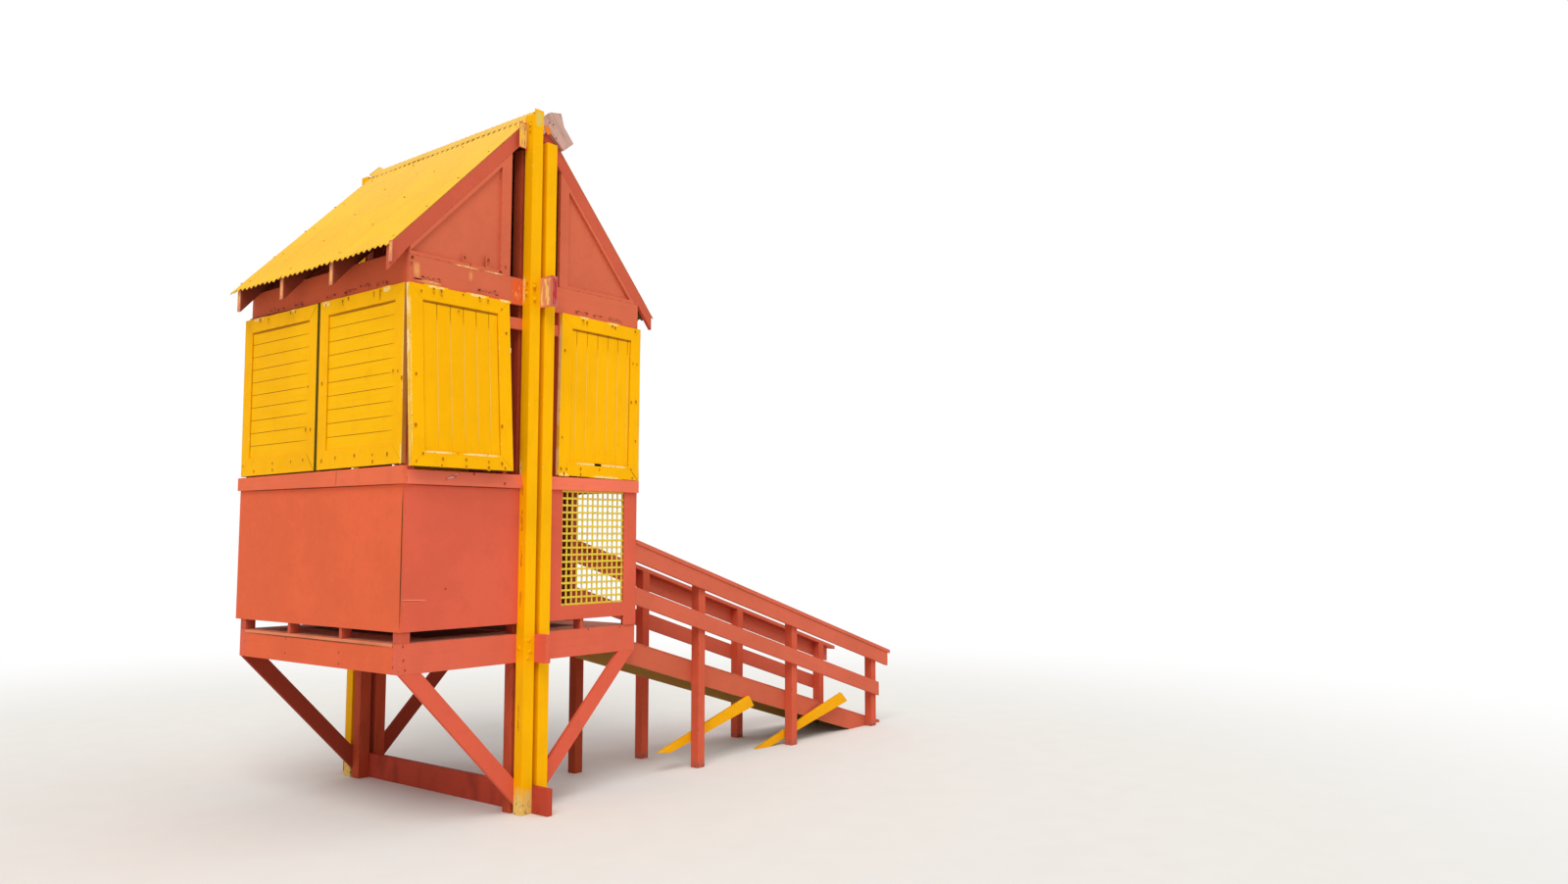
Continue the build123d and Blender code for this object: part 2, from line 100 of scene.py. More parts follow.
class TowerSizes(bpy.types.PropertyGroup):
    """Sizes of the details that the frame leaves to the finish."""

    edge_round: length_property("Edge round", "Width of the worn round on timber edges", 0.003)
    wave_height: length_property("Wave height", "Height of the roof sheet's waves", 0.019)
    wave_count: bpy.props.IntProperty(
        name="Waves", description="Number of waves on each slope of the roof", default=32, min=8
    )
    sheet_thickness: length_property("Sheet thickness", "Thickness of the roof sheets", 0.0022)
    groove_width: length_property("Groove width", "Width of the grooves between shutter boards", 0.0055)
    groove_depth: length_property("Groove depth", "Depth of the grooves between shutter boards", 0.0032)
    strip_width: length_property("Strip width", "Width of a lattice strip", 0.018)
    screw_radius: length_property("Screw radius", "Radius of a rusty screw head", 0.005)
    bolt_radius: length_property("Bolt radius", "Radius of a bolt head on the posts", 0.0165)
    ramp_board: length_property("Ramp board", "Width of a board of the ramp's floor", 0.14)


def colour_property(title, text, value):
    """A colour that a user can change."""
    return bpy.props.FloatVectorProperty(
        name=title, description=text, default=value, subtype="COLOR", size=3, min=0, max=1
    )


class TowerColours(bpy.types.PropertyGroup):
    """Colours of the tower's paints and worn places."""

    red: colour_property("Red", "Paint of walls, platform and ramp", (0.72, 0.122, 0.066))
    side_red: colour_property("Side red", "Warmer paint of the long walls", (0.78, 0.135, 0.052))
    # Dark red: partly old paint, partly painted shade of the timbers under the platform and between the posts
    dark_red: colour_property("Dark red", "Old paint of the timbers in the shade", (0.36, 0.055, 0.022))
    yellow: colour_property("Yellow", "Paint of posts and shutters", (0.98, 0.465, 0.0))
    roof: colour_property("Roof yellow", "Paint of the roof sheets", (0.93, 0.52, 0.04))
    lattice: colour_property("Lattice yellow", "Paint of the lattice", (0.78, 0.57, 0.06))
    primer: colour_property("Primer", "Pale undercoat where yellow paint has chipped", (0.86, 0.66, 0.26))
    rust: colour_property("Rust", "Rust of screws and hinges", (0.07, 0.022, 0.010))
    bare: colour_property("Bare wood", "Weathered wood without paint", (0.60, 0.36, 0.29))


def own_keys(group):
    """Names of the settings in a group."""
    return [key for key in group.bl_rna.properties.keys() if key not in {"rna_type", "name"}]


def chosen(context):
    """The user's colours, each a plain tuple, and the user's sizes."""
    colours = context.scene.tower_colours
    plain_colours = {key: tuple(getattr(colours, key)) for key in own_keys(colours)}
    return SimpleNamespace(**plain_colours), context.scene.tower_sizes


def empty_tree(owner):
    """Node tree of a material or world, with nothing in it."""
    owner.use_nodes = True
    owner.node_tree.nodes.clear()
    return owner.node_tree


def add_node(tree, kind, inputs=None, **settings):
    """New node with its settings and inputs, an input being a value or another node's output."""
    made = tree.nodes.new(kind)
    for key, value in settings.items():
        setattr(made, key, value)
    for key, value in (inputs or {}).items():
        if isinstance(value, bpy.types.NodeSocket):
            tree.links.new(value, made.inputs[key])
        else:
            made.inputs[key].default_value = value
    return made


class Finish:
    """Node tree of one material, with short calls for the patterns that paint and wear are made of."""

    def __init__(self, name):
        self.material = bpy.data.materials.new(name)
        self.tree = empty_tree(self.material)
        self.place = self.add("ShaderNodeTexCoord").outputs["Object"]

    def add(self, kind, inputs=None, **settings):
        """New node of this material."""
        return add_node(self.tree, kind, inputs, **settings)

    def noise(self, scale, stretch=(1, 1, 1), turn=(0, 0, 0), detail=3.0, shift=0.0):
        """Noise of so many grains a metre, drawn out along an axis by a small stretch."""
        size = tuple(1 / s for s in stretch)
        inputs = {"Vector": self.place, "Location": (shift,) * 3, "Rotation": turn, "Scale": size}
        vector = self.add("ShaderNodeMapping", inputs, vector_type="TEXTURE").outputs[0]
        return self.add("ShaderNodeTexNoise", {"Vector": vector, "Scale": scale, "Detail": detail}).outputs[0]

    def between(self, value, low, high, to_low=0.0, to_high=1.0):
        """Smooth step of a value between two limits."""
        inputs = {"Value": value, "From Min": low, "From Max": high, "To Min": to_low, "To Max": to_high}
        return self.add("ShaderNodeMapRange", inputs, interpolation_type="SMOOTHSTEP").outputs[0]

    def sum(self, operation, first, second=0.0):
        """One sum of two values."""
        return self.add("ShaderNodeMath", {0: first, 1: second}, operation=operation).outputs[0]

    def mix(self, factor, first, second):
        """Blend of two colours, written as three numbers or a node's output."""
        pair = [c if isinstance(c, bpy.types.NodeSocket) else (*c, 1) for c in (first, second)]
        return self.add("ShaderNodeMix", {0: factor, 6: pair[0], 7: pair[1]}, data_type="RGBA").outputs[2]

    def over(self, paint, colour, value, low, high, to_low=0.0, to_high=1.0):
        """Paint with a colour over it, whose share changes while a value goes from low to high."""
        return self.mix(self.between(value, low, high, to_low, to_high), paint, colour)

    def axis(self, name):
        """One coordinate of the surface, in metres."""
        return self.add("ShaderNodeSeparateXYZ", {0: self.place}).outputs[name]

    def close(self, colour, height, roughness=0.65, depth=0.0005, gloss=0.05):
        """Ends the tree in a shader with a bump of the given depth in metres."""
        bump = self.add("ShaderNodeBump", {"Height": height, "Strength": 0.6, "Distance": depth})
        inputs = {"Base Color": colour, "Roughness": roughness, "Specular IOR Level": gloss}
        surface = self.add("ShaderNodeBsdfPrincipled", {**inputs, "Normal": bump.outputs[0]})
        self.add("ShaderNodeOutputMaterial", {"Surface": surface.outputs[0]})
        return self.material


def shade(colour, factor):
    """Colour made darker or lighter."""
    return tuple(min(1.0, c * factor) for c in colour)


GRAIN = {
    "sheet": ((1, 0.6, 0.6), (0, 0, 0)),
    "x": ((0.05, 1, 1), (0, 0, 0)),
    "y": ((1, 0.05, 1), (0, 0, 0)),
    "z": ((1, 1, 0.05), (0, 0, 0)),
    "left_slope": ((0.05, 1, 1), (0, -PITCH[-1], 0)),
    "right_slope": ((0.05, 1, 1), (0, PITCH[1], 0)),
    "ramp": ((0.05, 1, 1), (0, math.radians(17), 0)),
}


def painted(work, colour, grain):
    """Brushed paint on timber: cloudy fading, brush streaks along the grain, pale scuffs and dark specks."""
    stretch, turn = GRAIN[grain]
    cloud = work.noise(1.1, detail=2.0)
    worn = work.noise(6.5, detail=5.0, shift=8.3)
    streak = work.noise(45, stretch, turn, 4.0)
    brush = work.noise(160, stretch, turn, 2.0, 3.0)
    speck = work.noise(75, detail=2.0, shift=5.1)
    paint = work.mix(work.between(cloud, 0.36, 0.64), shade(colour, 0.96), shade(colour, 1.04))
    paint = work.over(paint, shade(colour, 0.90), worn, 0.52, 0.68, 0.0, 0.35)
    paint = work.over(paint, shade(colour, 1.08), worn, 0.32, 0.46, 0.30, 0.0)
    paint = work.over(paint, shade(colour, 0.76), streak, 0.42, 0.75, 0.0, 0.12)
    paint = work.over(paint, shade(colour, 0.4), speck, 0.72, 0.77, 0.0, 0.5)
    height = work.sum("ADD", streak, work.sum("MULTIPLY", brush, 0.35))
    return paint, height, streak


def timber_paint(
    name, colour, grain="z", chips=None, chip_share=0.0, foot=None, foot_top=0.5, foot_fall=0.0, grime=0.0
):
    """Painted timber with chips, grime and a worn foot, which is lower to the right by foot_fall."""
    work = Finish(name)
    paint, height, streak = painted(work, colour, grain)
    if grime:
        dirt = work.noise(5, (1, 1, 0.35), detail=6.0, shift=2.3)
        paint = work.over(paint, shade(colour, 0.35), dirt, 0.5, 0.7, 0.0, grime)
    if foot:
        ragged = work.sum("MULTIPLY", work.noise(16, detail=6.0), -0.9 * foot_top)
        right = work.sum("MULTIPLY", work.sum("MAXIMUM", work.axis("X")), foot_fall)
        rise = work.sum("ADD", work.sum("ADD", work.axis("Z"), ragged), right)
        paint = work.over(paint, foot, rise, 0.0, 0.4 * foot_top, 0.85, 0.0)
        speck = work.between(work.noise(40, detail=4.0, shift=6.1), 0.54, 0.64)
        low = work.between(rise, -0.3 * foot_top, 0.1 * foot_top, 0.75, 0.0)
        paint = work.mix(work.sum("MULTIPLY", speck, low), paint, shade(foot, 0.35))
    if chip_share:
        chip = work.noise(34, detail=5.0, shift=4.2)
        paint = work.over(paint, chips, chip, 0.66 - chip_share, 0.69 - chip_share)
    return work.close(paint, height, work.between(streak, 0.3, 0.8, 0.5, 0.68))


def deck_paint(name, pale, dark):
    """Floor paint: pale at the open edges as painted highlight, dark further in as painted shade."""
    work = Finish(name)
    paint, height, _ = painted(work, pale, "y")
    limits = (("X", 0.86), ("Y", 0.92))
    near = [work.sum("SUBTRACT", work.sum("ABSOLUTE", work.axis(axis)), edge) for axis, edge in limits]
    ragged = work.sum("MULTIPLY", work.noise(9, detail=5.0), 0.12)
    edge = work.sum("ADD", work.sum("MAXIMUM", *near), ragged)
    paint = work.mix(work.between(edge, -0.06, 0.10), dark, paint)
    return work.close(paint, height, 0.7)


def brace_paint(name, colour, dark):
    """Paint of the diagonal boards, darker on the rear pair as painted shade."""
    work = Finish(name)
    paint, height, _ = painted(work, colour, "z")
    rear = work.sum("ADD", work.axis("Y"), work.noise(5, detail=4.0))
    return work.close(work.over(paint, dark, rear, 0.3, 0.7), height, 0.62)


def stringer_paint(name, colour, wood):
    """Paint on the outer faces of the ramp's side boards, and dirty bare wood between them."""
    work = Finish(name)
    paint, height, _ = painted(work, colour, "ramp")
    near, far = (corner.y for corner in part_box("ramp_stringers"))
    place = work.axis("Y")
    inside = work.sum("MINIMUM", work.sum("SUBTRACT", place, near), work.sum("SUBTRACT", far, place))
    left = work.noise(6, *GRAIN["ramp"], 4.0, 1.7)
    wood = work.over(wood, shade(colour, 0.75), left, 0.55, 0.65, 0.0, 0.6)
    return work.close(work.over(paint, wood, inside, 0.005, 0.010), height)


def band_paint(name, colour, dark):
    """Wall paint under the eaves, with painted shade above a ragged line below the roof."""
    work = Finish(name)
    paint, height, _ = painted(work, colour, "y")
    line = work.sum("ADD", work.axis("Z"), work.sum("MULTIPLY", work.noise(20, detail=4.0), 0.02))
    return work.close(work.over(paint, dark, line, LINTEL_TOP + 0.030, LINTEL_TOP + 0.060), height)


def bare_timber(name, colour, grain="z"):
    """Weathered timber without paint: long grey grain, fine cracks and darker blotches."""
    work = Finish(name)
    stretch, turn = GRAIN[grain]
    band = work.noise(38, stretch, turn, 5.0)
    crack = work.noise(110, stretch, turn, 3.0, 2.2)
    blotch = work.noise(7, detail=5.0, shift=0.7)
    wood = work.over(shade(colour, 0.72), shade(colour, 1.18), band, 0.3, 0.7)
    wood = work.over(wood, shade(colour, 0.6), blotch, 0.45, 0.7, 0.0, 0.5)
    wood = work.over(wood, shade(colour, 0.25), crack, 0.64, 0.7, 0.0, 0.8)
    height = work.sum("SUBTRACT", band, work.between(crack, 0.6, 0.7))
    return work.close(wood, height, 0.82, 0.0015, 0.2)


def stained_paint(name, colour, grain, stains):
    """The same paint with stains, each where the piece's own mask and a noise are strong enough."""
    work = Finish(name)
    paint, height, _ = painted(work, colour, grain)
    mask = work.add("ShaderNodeAttribute", attribute_name="mask").outputs["Fac"]
    for step, (stain, scale, stretch, cut, soft) in enumerate(stains):
        blot = work.noise(scale, stretch, detail=4.0, shift=0.9 + 2.7 * step)
        amount = work.sum("MULTIPLY", mask, work.sum("ADD", blot, 0.5))
        paint = work.over(paint, stain, amount, cut - soft, cut + soft)
    return work.close(paint, height)


def rusty_metal(name, colour, paint=None):
    """Rusted fastener, with crusts of rust, and what is left of the paint over it."""
    work = Finish(name)
    crust = work.noise(240, detail=5.0)
    metal = work.over(shade(colour, 0.45), shade(colour, 1.9), crust, 0.35, 0.65)
    if paint:
        metal = work.over(metal, paint, work.noise(95, detail=4.0, shift=3.3), 0.40, 0.46)
    return work.close(metal, crust, 0.75, 0.0008, 0.15)


def roof_paint(name, colour, waves):
    """Painted roof sheet: chalky fading, streaks down the slope, painted shade in the valleys, rust in spots.
    """
    work = Finish(name)
    cloud = work.noise(1.6, detail=3.0)
    streak = work.noise(16, (0.08, 1, 0.08), detail=5.0, shift=1.3)
    spot = work.noise(30, detail=5.0, shift=2.9)
    height = work.between(work.axis("Z"), 4.6, 5.9)
    paint = work.over(shade(colour, 0.95), shade(colour, 1.05), cloud, 0.35, 0.65)
    paint = work.mix(work.sum("MULTIPLY", height, 0.45), paint, (0.86, 0.56, 0.13))
    paint = work.over(paint, (0.74, 0.34, 0.015), streak, 0.52, 0.74, 0.0, 0.22)
    paint = work.over(paint, (1.0, 0.70, 0.14), streak, 0.22, 0.4, 0.15, 0.0)
    paint = work.over(paint, (0.3, 0.14, 0.02), spot, 0.69, 0.74, 0.0, 0.6)
    # The darker valleys are painted shade of the corrugations
    turns = work.sum("SUBTRACT", work.axis("Y"), FRONT_WALL)
    turns = work.sum("MULTIPLY", turns, 2 * math.pi * waves / DEPTH)
    valley = work.between(work.sum("COSINE", turns), 0.2, 1.0)
    valley = work.sum("MULTIPLY", valley, work.between(cloud, 0.3, 0.6, 0.25, 0.6))
    paint = work.mix(valley, paint, shade(colour, 0.72))
    return work.close(paint, streak, work.between(cloud, 0.3, 0.7, 0.5, 0.65), 0.0004, 0.12)


def weathered_side(name):
    """Worn side of a shutter: pale undercoat through the yellow paint, with a few brown flecks."""
    work = Finish(name)
    patch = work.noise(9, (1, 1, 0.4), detail=5.0)
    fleck = work.noise(60, detail=4.0, shift=2.1)
    paint = work.over((0.98, 0.72, 0.30), (0.90, 0.52, 0.05), patch, 0.46, 0.56)
    paint = work.over(paint, (0.55, 0.38, 0.09), patch, 0.60, 0.66, 0.0, 0.8)
    paint = work.over(paint, (0.14, 0.08, 0.02), fleck, 0.66, 0.70, 0.0, 0.8)
    return work.close(paint, fleck, 0.8)


def mesh_of(name, grids, material, masks=None, closed=False, smooth=True):
    """Object from grids of points, each an array of rows, columns and three coordinates.

    Each grid gives one quad for every four neighbouring points; doubled points, as at a seam or a
    pole, are merged where no masks are given. A mask is a grid of numbers that the material reads.
    """
    points, faces, values, start = [], [], [], 0
    for i, grid in enumerate(grids):
        rows, columns = grid.shape[:2]
        index = start + np.arange(rows * columns).reshape(rows, columns)
        quads = np.stack([index[:-1, :-1], index[:-1, 1:], index[1:, 1:], index[1:, :-1]], -1)
        points.append(grid.reshape(-1, 3))
        faces.append(quads.reshape(-1, 4))
        values.append(np.ones(rows * columns) if masks is None else masks[i].reshape(-1))
        start += rows * columns
    mesh = bpy.data.meshes.new(name)
    mesh.from_pydata(np.concatenate(points).tolist(), [], np.concatenate(faces).tolist())
    if masks is not None:
        layer = mesh.attributes.new("mask", "FLOAT", "POINT")
        layer.data.foreach_set("value", np.concatenate(values).astype(np.float32))
    if masks is None:
        work = bmesh.new()
        work.from_mesh(mesh)
        bmesh.ops.remove_doubles(work, verts=work.verts, dist=1e-6)
        if closed:
            bmesh.ops.recalc_face_normals(work, faces=work.faces)
        work.to_mesh(mesh)
        work.free()
    mesh.polygons.foreach_set("use_smooth", np.full(len(mesh.polygons), smooth))
    mesh.materials.append(material)
    mesh.update()
    made = bpy.data.objects.new(name, mesh)
    bpy.context.scene.collection.objects.link(made)
    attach(made, "root")
    return made


def unit(vector):
    """Vectors of length one."""
    vector = np.asarray(vector, float)
    return vector / np.linalg.norm(vector, axis=-1, keepdims=True)


def points(x, y, z):
    """Points from three coordinates, each a number or an array."""
    return np.stack(np.broadcast_arrays(x, y, z), -1)


def bars(starts, ends, out, width, thick, rounding=0.0015, wobble=0.0):
    """Straight strips with rounded edges, each a closed grid of rings.

    A ring is a rounded rectangle, width by thick, square to the strip; the rings at both ends
    shrink to a point, which closes the strip. A small seeded wobble moves the rings in between.
    """
    starts, ends = np.atleast_2d(starts).astype(float), np.atleast_2d(ends).astype(float)
    along = unit(ends - starts)
    out = unit(np.broadcast_to(out, along.shape))
    across = np.cross(out, along)
    angle = np.linspace(0, 2 * math.pi, 13)
    corner = np.stack([np.sign(np.cos(angle + 0.01)), np.sign(np.sin(angle + 0.01))], -1)
    turn = np.stack([np.cos(angle), np.sin(angle)], -1) * rounding
    half = np.array([width, thick]) / 2
    ring = corner * (half - rounding) + turn
    steps = np.array([0, 0, 0.0015, 0.25, 0.5, 0.75, 1, 1, 1])
    scale = np.array([0, 0.96, 1, 1, 1, 1, 1, 0.96, 0])
    length = np.linalg.norm(ends - starts, axis=1)
    way = np.stack([steps] * len(starts))
    way[:, 2] = rounding / length
    way[:, 6] = 1 - rounding / length
    shift = np.random.default_rng(7).normal(0, wobble, (len(starts), 9, 2)) * (scale == 1)[None, :, None]
    profile = ring[None, None] * scale[None, :, None, None] + shift[:, :, None, :]
    middle = starts[:, None] + (ends - starts)[:, None] * way[:, :, None]
    grid = (
        middle[:, :, None]
        + profile[..., :1] * across[:, None, None]
        + profile[..., 1:] * out[:, None, None]
    )
    return list(grid)


def domes(centres, normals, radius, height):
    """Round heads, each a grid of rings around its axis.

    The radius grows with the cosine and the height falls with the sine of the way down the head.
    """
    centres = np.atleast_2d(centres).astype(float)
    normals = unit(np.broadcast_to(normals, centres.shape))
    side = unit(np.cross(normals, np.where(np.abs(normals[:, 2:]) > 0.9, X, Z)))
    other = np.cross(normals, side)
    way = np.linspace(0, math.pi / 2, 4)
    ring = np.concatenate([np.sin(way), [1.0]])
    lift = np.concatenate([0.35 + 0.65 * np.cos(way), [-0.3]])
    angle = np.linspace(0, 2 * math.pi, 11)
    circle = np.cos(angle)[:, None] * side[:, None] + np.sin(angle)[:, None] * other[:, None]
    grid = (
        centres[:, None, None]
        + radius * ring[None, :, None, None] * circle[:, None]
        + height * lift[None, :, None, None] * normals[:, None, None]
    )
    return list(grid)


def ribbons(starts, ends, out, width, lift=0.0005):
    """Thin lines on a surface, such as cracks and seams, each a grid of two rows.

    The width grows from nothing at both ends to its full value in the middle, by a sine.
    """
    starts, ends = np.atleast_2d(starts).astype(float), np.atleast_2d(ends).astype(float)
    along = unit(ends - starts)
    out = unit(np.broadcast_to(out, along.shape))
    across = np.cross(out, along)
    way = np.linspace(0, 1, 9)
    wide = np.broadcast_to(width, len(starts))[:, None] / 2 * np.sin(way * math.pi)[None] ** 0.35
    wander = np.random.default_rng(3).normal(0, 0.0004, (len(starts), 9))
    middle = starts[:, None] + (ends - starts)[:, None] * way[None, :, None] + lift * out[:, None]
    first = middle + (wander - wide)[..., None] * across[:, None]
    second = middle + (wander + wide)[..., None] * across[:, None]
    return list(np.stack([first, second], 1))


def patches(centres, out, down, sizes, fall=1.0, lift=0.0008, firm=1.0):
    """Flat places on a wall that carry a stain, as grids with a mask.

    The mask falls from the middle to nothing at the rim by a square law; firm raises it, so that it
    stays one farther out, and fall makes it weaker towards the lower end, as on a drip.
    """
    out, down = unit(out), unit(down)
    across = np.cross(down, out)
    s, t = np.meshgrid(np.linspace(1, -1, 9), np.linspace(-1, 1, 13), indexing="ij")
    centres = np.atleast_2d(centres).astype(float)[:, None, None]
    wide, tall = np.moveaxis(np.atleast_2d(sizes).astype(float), 1, 0)[..., None, None, None] / 2
    grids = centres + lift * out + s[..., None] * wide * across + t[..., None] * tall * down
    mask = np.minimum(1, firm * (1 - s**2) * (1 - t**2) ** 0.5) * (1 - (1 - 1 / fall) * (t + 1) / 2)
    return list(grids), [mask] * len(grids)


def stained(name, spots, paint, grain, stains, lift=0.0008, title=None):
    """One object of stains on paint, whose material is called title.

    A spot is a row of centre, outward and downward way, width, height, fall and firmness. A stain is
    a row of colour, grains a metre, stretch, cut and softness.
    """
    grids, masks = [], []
    for centre, out, down, wide, tall, fall, firm in spots:
        more = patches(centre, out, down, (wide, tall), fall, lift, firm)
        grids += more[0]
        masks += more[1]
    finish = stained_paint(title or name + "_paint", paint, grain, stains)
    return mesh_of(name, grids, finish, masks=masks)


def on_wall(wall, level, rows, fall=1.0, firm=1.0, down=-Z):
    """Spots on a left or front face: rows of place along it, height, width and tallness.

    A row may end with a fall of its own, and a firmness after it.
    """
    spots = []
    for along, height, wide, tall, *own in rows:
        centre, out = ((level, along, height), -X) if wall == "left" else ((along, level, height), -Y)
        spots.append((centre, out, down, wide, tall, *own, *(fall, firm)[len(own):]))
    return spots


def thicken(made, thickness, offset):
    """Modifier that gives a sheet its thickness."""
    solid = made.modifiers.new("Thickness", "SOLIDIFY")
    solid.thickness, solid.offset = thickness, offset
    return solid


def coat(names, face, edge, sizes):
    """Gives frame nodes a paint, and rounds their edges in the edge paint."""
    for name in names.split():
        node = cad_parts[name]
        node.data.materials.clear()
        node.data.materials.append(face)
        node.data.materials.append(edge)
        node.modifiers.new("Weld", "WELD").merge_threshold = 0.00001
        flat = node.modifiers.new("Flat", "DECIMATE")
        flat.decimate_type = "DISSOLVE"
        flat.angle_limit = math.radians(0.5)
        bevel = node.modifiers.new("Round", "BEVEL")
        bevel.width = sizes.edge_round
        bevel.segments = 2
        bevel.limit_method = "ANGLE"
        bevel.angle_limit = math.radians(20)
        bevel.material = 1


def coat_rows(sizes, *rows):
    """Coats frame nodes from rows of their names, the paint's name, colour and grain, and its wear.

    Their edges get the same paint with more chips, by edge_share.
    """
    for names, title, colour, grain, *more in rows:
        wear = dict(*more)
        chips = wear.pop("chips", shade(colour, 0.45))
        share = wear.pop("edge_share", 0.05)
        face = timber_paint(title, colour, grain, chips, **wear)
        edge = timber_paint(title + "_edge", colour, grain, chips, share, **wear)
        coat(names, face, edge, sizes)


class TOWER_OT_posts(bpy.types.Operator):
    """Posts, beams and braces: yellow outer posts with worn feet, red timbers between them"""

    bl_idname = "tower.posts"
    bl_label = "Posts and Beams"

    def execute(self, context):
        colours, sizes = chosen(context)
        worn = {"chips": colours.primer, "edge_share": 0.03}
        worn.update(foot=(0.80, 0.56, 0.17), foot_top=0.27, foot_fall=10.0)
        coat_rows(
            sizes,
            ("outer_posts", "post_yellow", colours.yellow, "z", worn),
            # The inner posts' dark red is partly painted shade between the outer posts
            ("inner_posts", "post_dark", shade(colours.dark_red, 1.4), "z", {"grime": 0.3}),
            # The landing post's deep red is painted shade
            ("landing_post", "landing_red", (0.38, 0.060, 0.022), "z", {"grime": 0.2}),
            ("ground_sill", "sill_red", (0.50, 0.066, 0.036), "y", {"grime": 0.5}),
            ("floor_beam eave_beam ridge_beam", "beam_red", colours.red, "y", {"grime": 0.1}),
        )
        # The rear braces' darker red is painted shade
        brace = brace_paint("brace_red", colours.red, (0.34, 0.052, 0.026))
        coat("braces", brace, brace, sizes)
        return {"FINISHED"}


class TOWER_OT_platform(bpy.types.Operator):
    """Platform: edge boards, joists and floor"""

    bl_idname = "tower.platform"
    bl_label = "Platform"

    def execute(self, context):
        colours, sizes = chosen(context)
        coat_rows(
            sizes,
            ("end_rims", "rim_red", (0.735, 0.136, 0.074), "x"),
            ("side_rims", "side_rim_red", colours.side_red, "y"),
            # The joists' dark red is partly painted shade under the floor
            ("floor_joists", "joist_red", colours.dark_red, "x", {"grime": 0.4}),
        )
        # Pale edge paint as painted highlight, dark inner paint as painted shade
        floor = deck_paint("deck_worn", (0.98, 0.42, 0.29), (0.12, 0.045, 0.03))
        coat("deck", floor, floor, sizes)
        wide, thick, off = 0.027, 0.006, 0.001
        front, rear, height = FRONT_WALL + 0.09, REAR_WALL - 0.09, DECK_TOP - 0.014
        grids = bars((LEFT_WALL - off, front, height), (LEFT_WALL - off, rear, height), -X, wide, thick)
        grids += bars((RIGHT_WALL + off, DOOR_FAR, height), (RIGHT_WALL + off, rear, height), X, wide, thick)
        bleached = timber_paint("deck_edge_pale", (0.76, 0.235, 0.115), "y", grime=0.2)
        mesh_of("deck_edges", grids, bleached, closed=True, smooth=False)
        return {"FINISHED"}


class TOWER_OT_walls(bpy.types.Operator):
    """Walls: frame, sills, lintels, bands, lower sheets and gable boards"""

    bl_idname = "tower.walls"
    bl_label = "Walls"

    def execute(self, context):
        colours, sizes = chosen(context)
        red, side = colours.red, colours.side_red
        coat_rows(
            sizes,
            ("corner_posts wall_studs", "stud_red", shade(red, 0.85), "z", {"grime": 0.2}),
            ("side_sills", "side_sill_red", (0.80, 0.158, 0.070), "y"),
            # The end sills' lighter red is painted light against the shade of the shutters above
            ("end_sills", "end_sill_red", (0.90, 0.188, 0.104), "x"),
            ("lintels", "lintel_red", LINTEL_RED, "x"),
            ("gable_panels", "gable_red", (0.66, 0.143, 0.070), "sheet"),
            ("left_panel", "left_sheet_red", side, "sheet"),
            ("right_panel", "right_sheet_red", side, "sheet"),
            ("front_panel rear_panels", "end_sheet_red", red, "sheet"),
            ("lattice_frame", "lattice_frame_red", red, "sheet"),
        )
        # The band's darker red and its dark top are painted shade under the eaves
        band = band_paint("band_red", shade(side, BAND_SHADE), (0.14, 0.03, 0.012))
        coat("top_bands", band, band, sizes)
        return {"FINISHED"}


class TOWER_OT_lattice(bpy.types.Operator):
    """Lattice of crossing strips in two layers"""

    bl_idname = "tower.lattice"
    bl_label = "Lattice"

    def execute(self, context):
        colours, sizes = chosen(context)
        low, high = (np.array(corner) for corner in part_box("lattice"))
        lap, columns, rows, wobble = 0.01, 13, 17, 0.0004
        width, thick = sizes.strip_width, (high[1] - low[1]) / 2
        x = np.linspace(low[0] + lap + width / 2, high[0] - lap - width / 2, columns)
        z = np.linspace(low[2] + lap + width / 2, high[2] - lap - width / 2, rows)
        back, front = high[1] - thick / 2, low[1] + thick / 2
        strips = bars(points(x, back, low[2]), points(x, back, high[2]), -Y, width, thick, wobble=wobble)
        strips += bars(points(low[0], front, z), points(high[0], front, z), -Y, width, thick, wobble=wobble)
        finish = timber_paint("lattice_yellow", colours.lattice, "z", (0.5, 0.36, 0.12), 0.03)
        made = mesh_of("lattice_strips", strips, finish, closed=True, smooth=False)
        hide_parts("lattice")
        return {"FINISHED"}


Place = namedtuple("Place", "corner along down out")
Size = namedtuple("Size", "width height foot first pitch lie")


def leaf(corner, along, out):
    """Place of a shutter: its upper left corner, the way along its top edge, down and outwards."""
    along, out = unit(along), unit(out)
    return Place(np.array(corner, float), along, -np.cross(out, along), out)


LEAN, OPEN, FALL = (math.radians(angle) for angle in (0.7, 3.7, 0.8))
NEAR_END = FRONT_WALL + 0.002
SIDE_WIDTH, END_WIDTH, END_HEIGHT = 1.165, 0.948, 1.4
SHUTTER_GAP = 0.042
DOOR_HEAD = LINTEL_BOTTOM - 0.05


def side_leaf(start, rise):
    """Place of a shutter on the left wall from its end near the corner; its top edge leans a little."""
    y = start + SIDE_WIDTH * math.cos(LEAN)
    z = LINTEL_BOTTOM + rise - SIDE_WIDTH * math.sin(LEAN)
    return leaf((LEFT_WALL, y, z), (0, -math.cos(LEAN), math.sin(LEAN)), -X)


def level_size(width, height):
    """Size of a shutter with level boards."""
    return Size(width, height, 0.15, 0.111, 0.111, "level")


def upright_size(first=0.132):
    """Size of a shutter with upright boards, the first so wide."""
    return Size(END_WIDTH, END_HEIGHT, RAIL, first, 0.123, "upright")


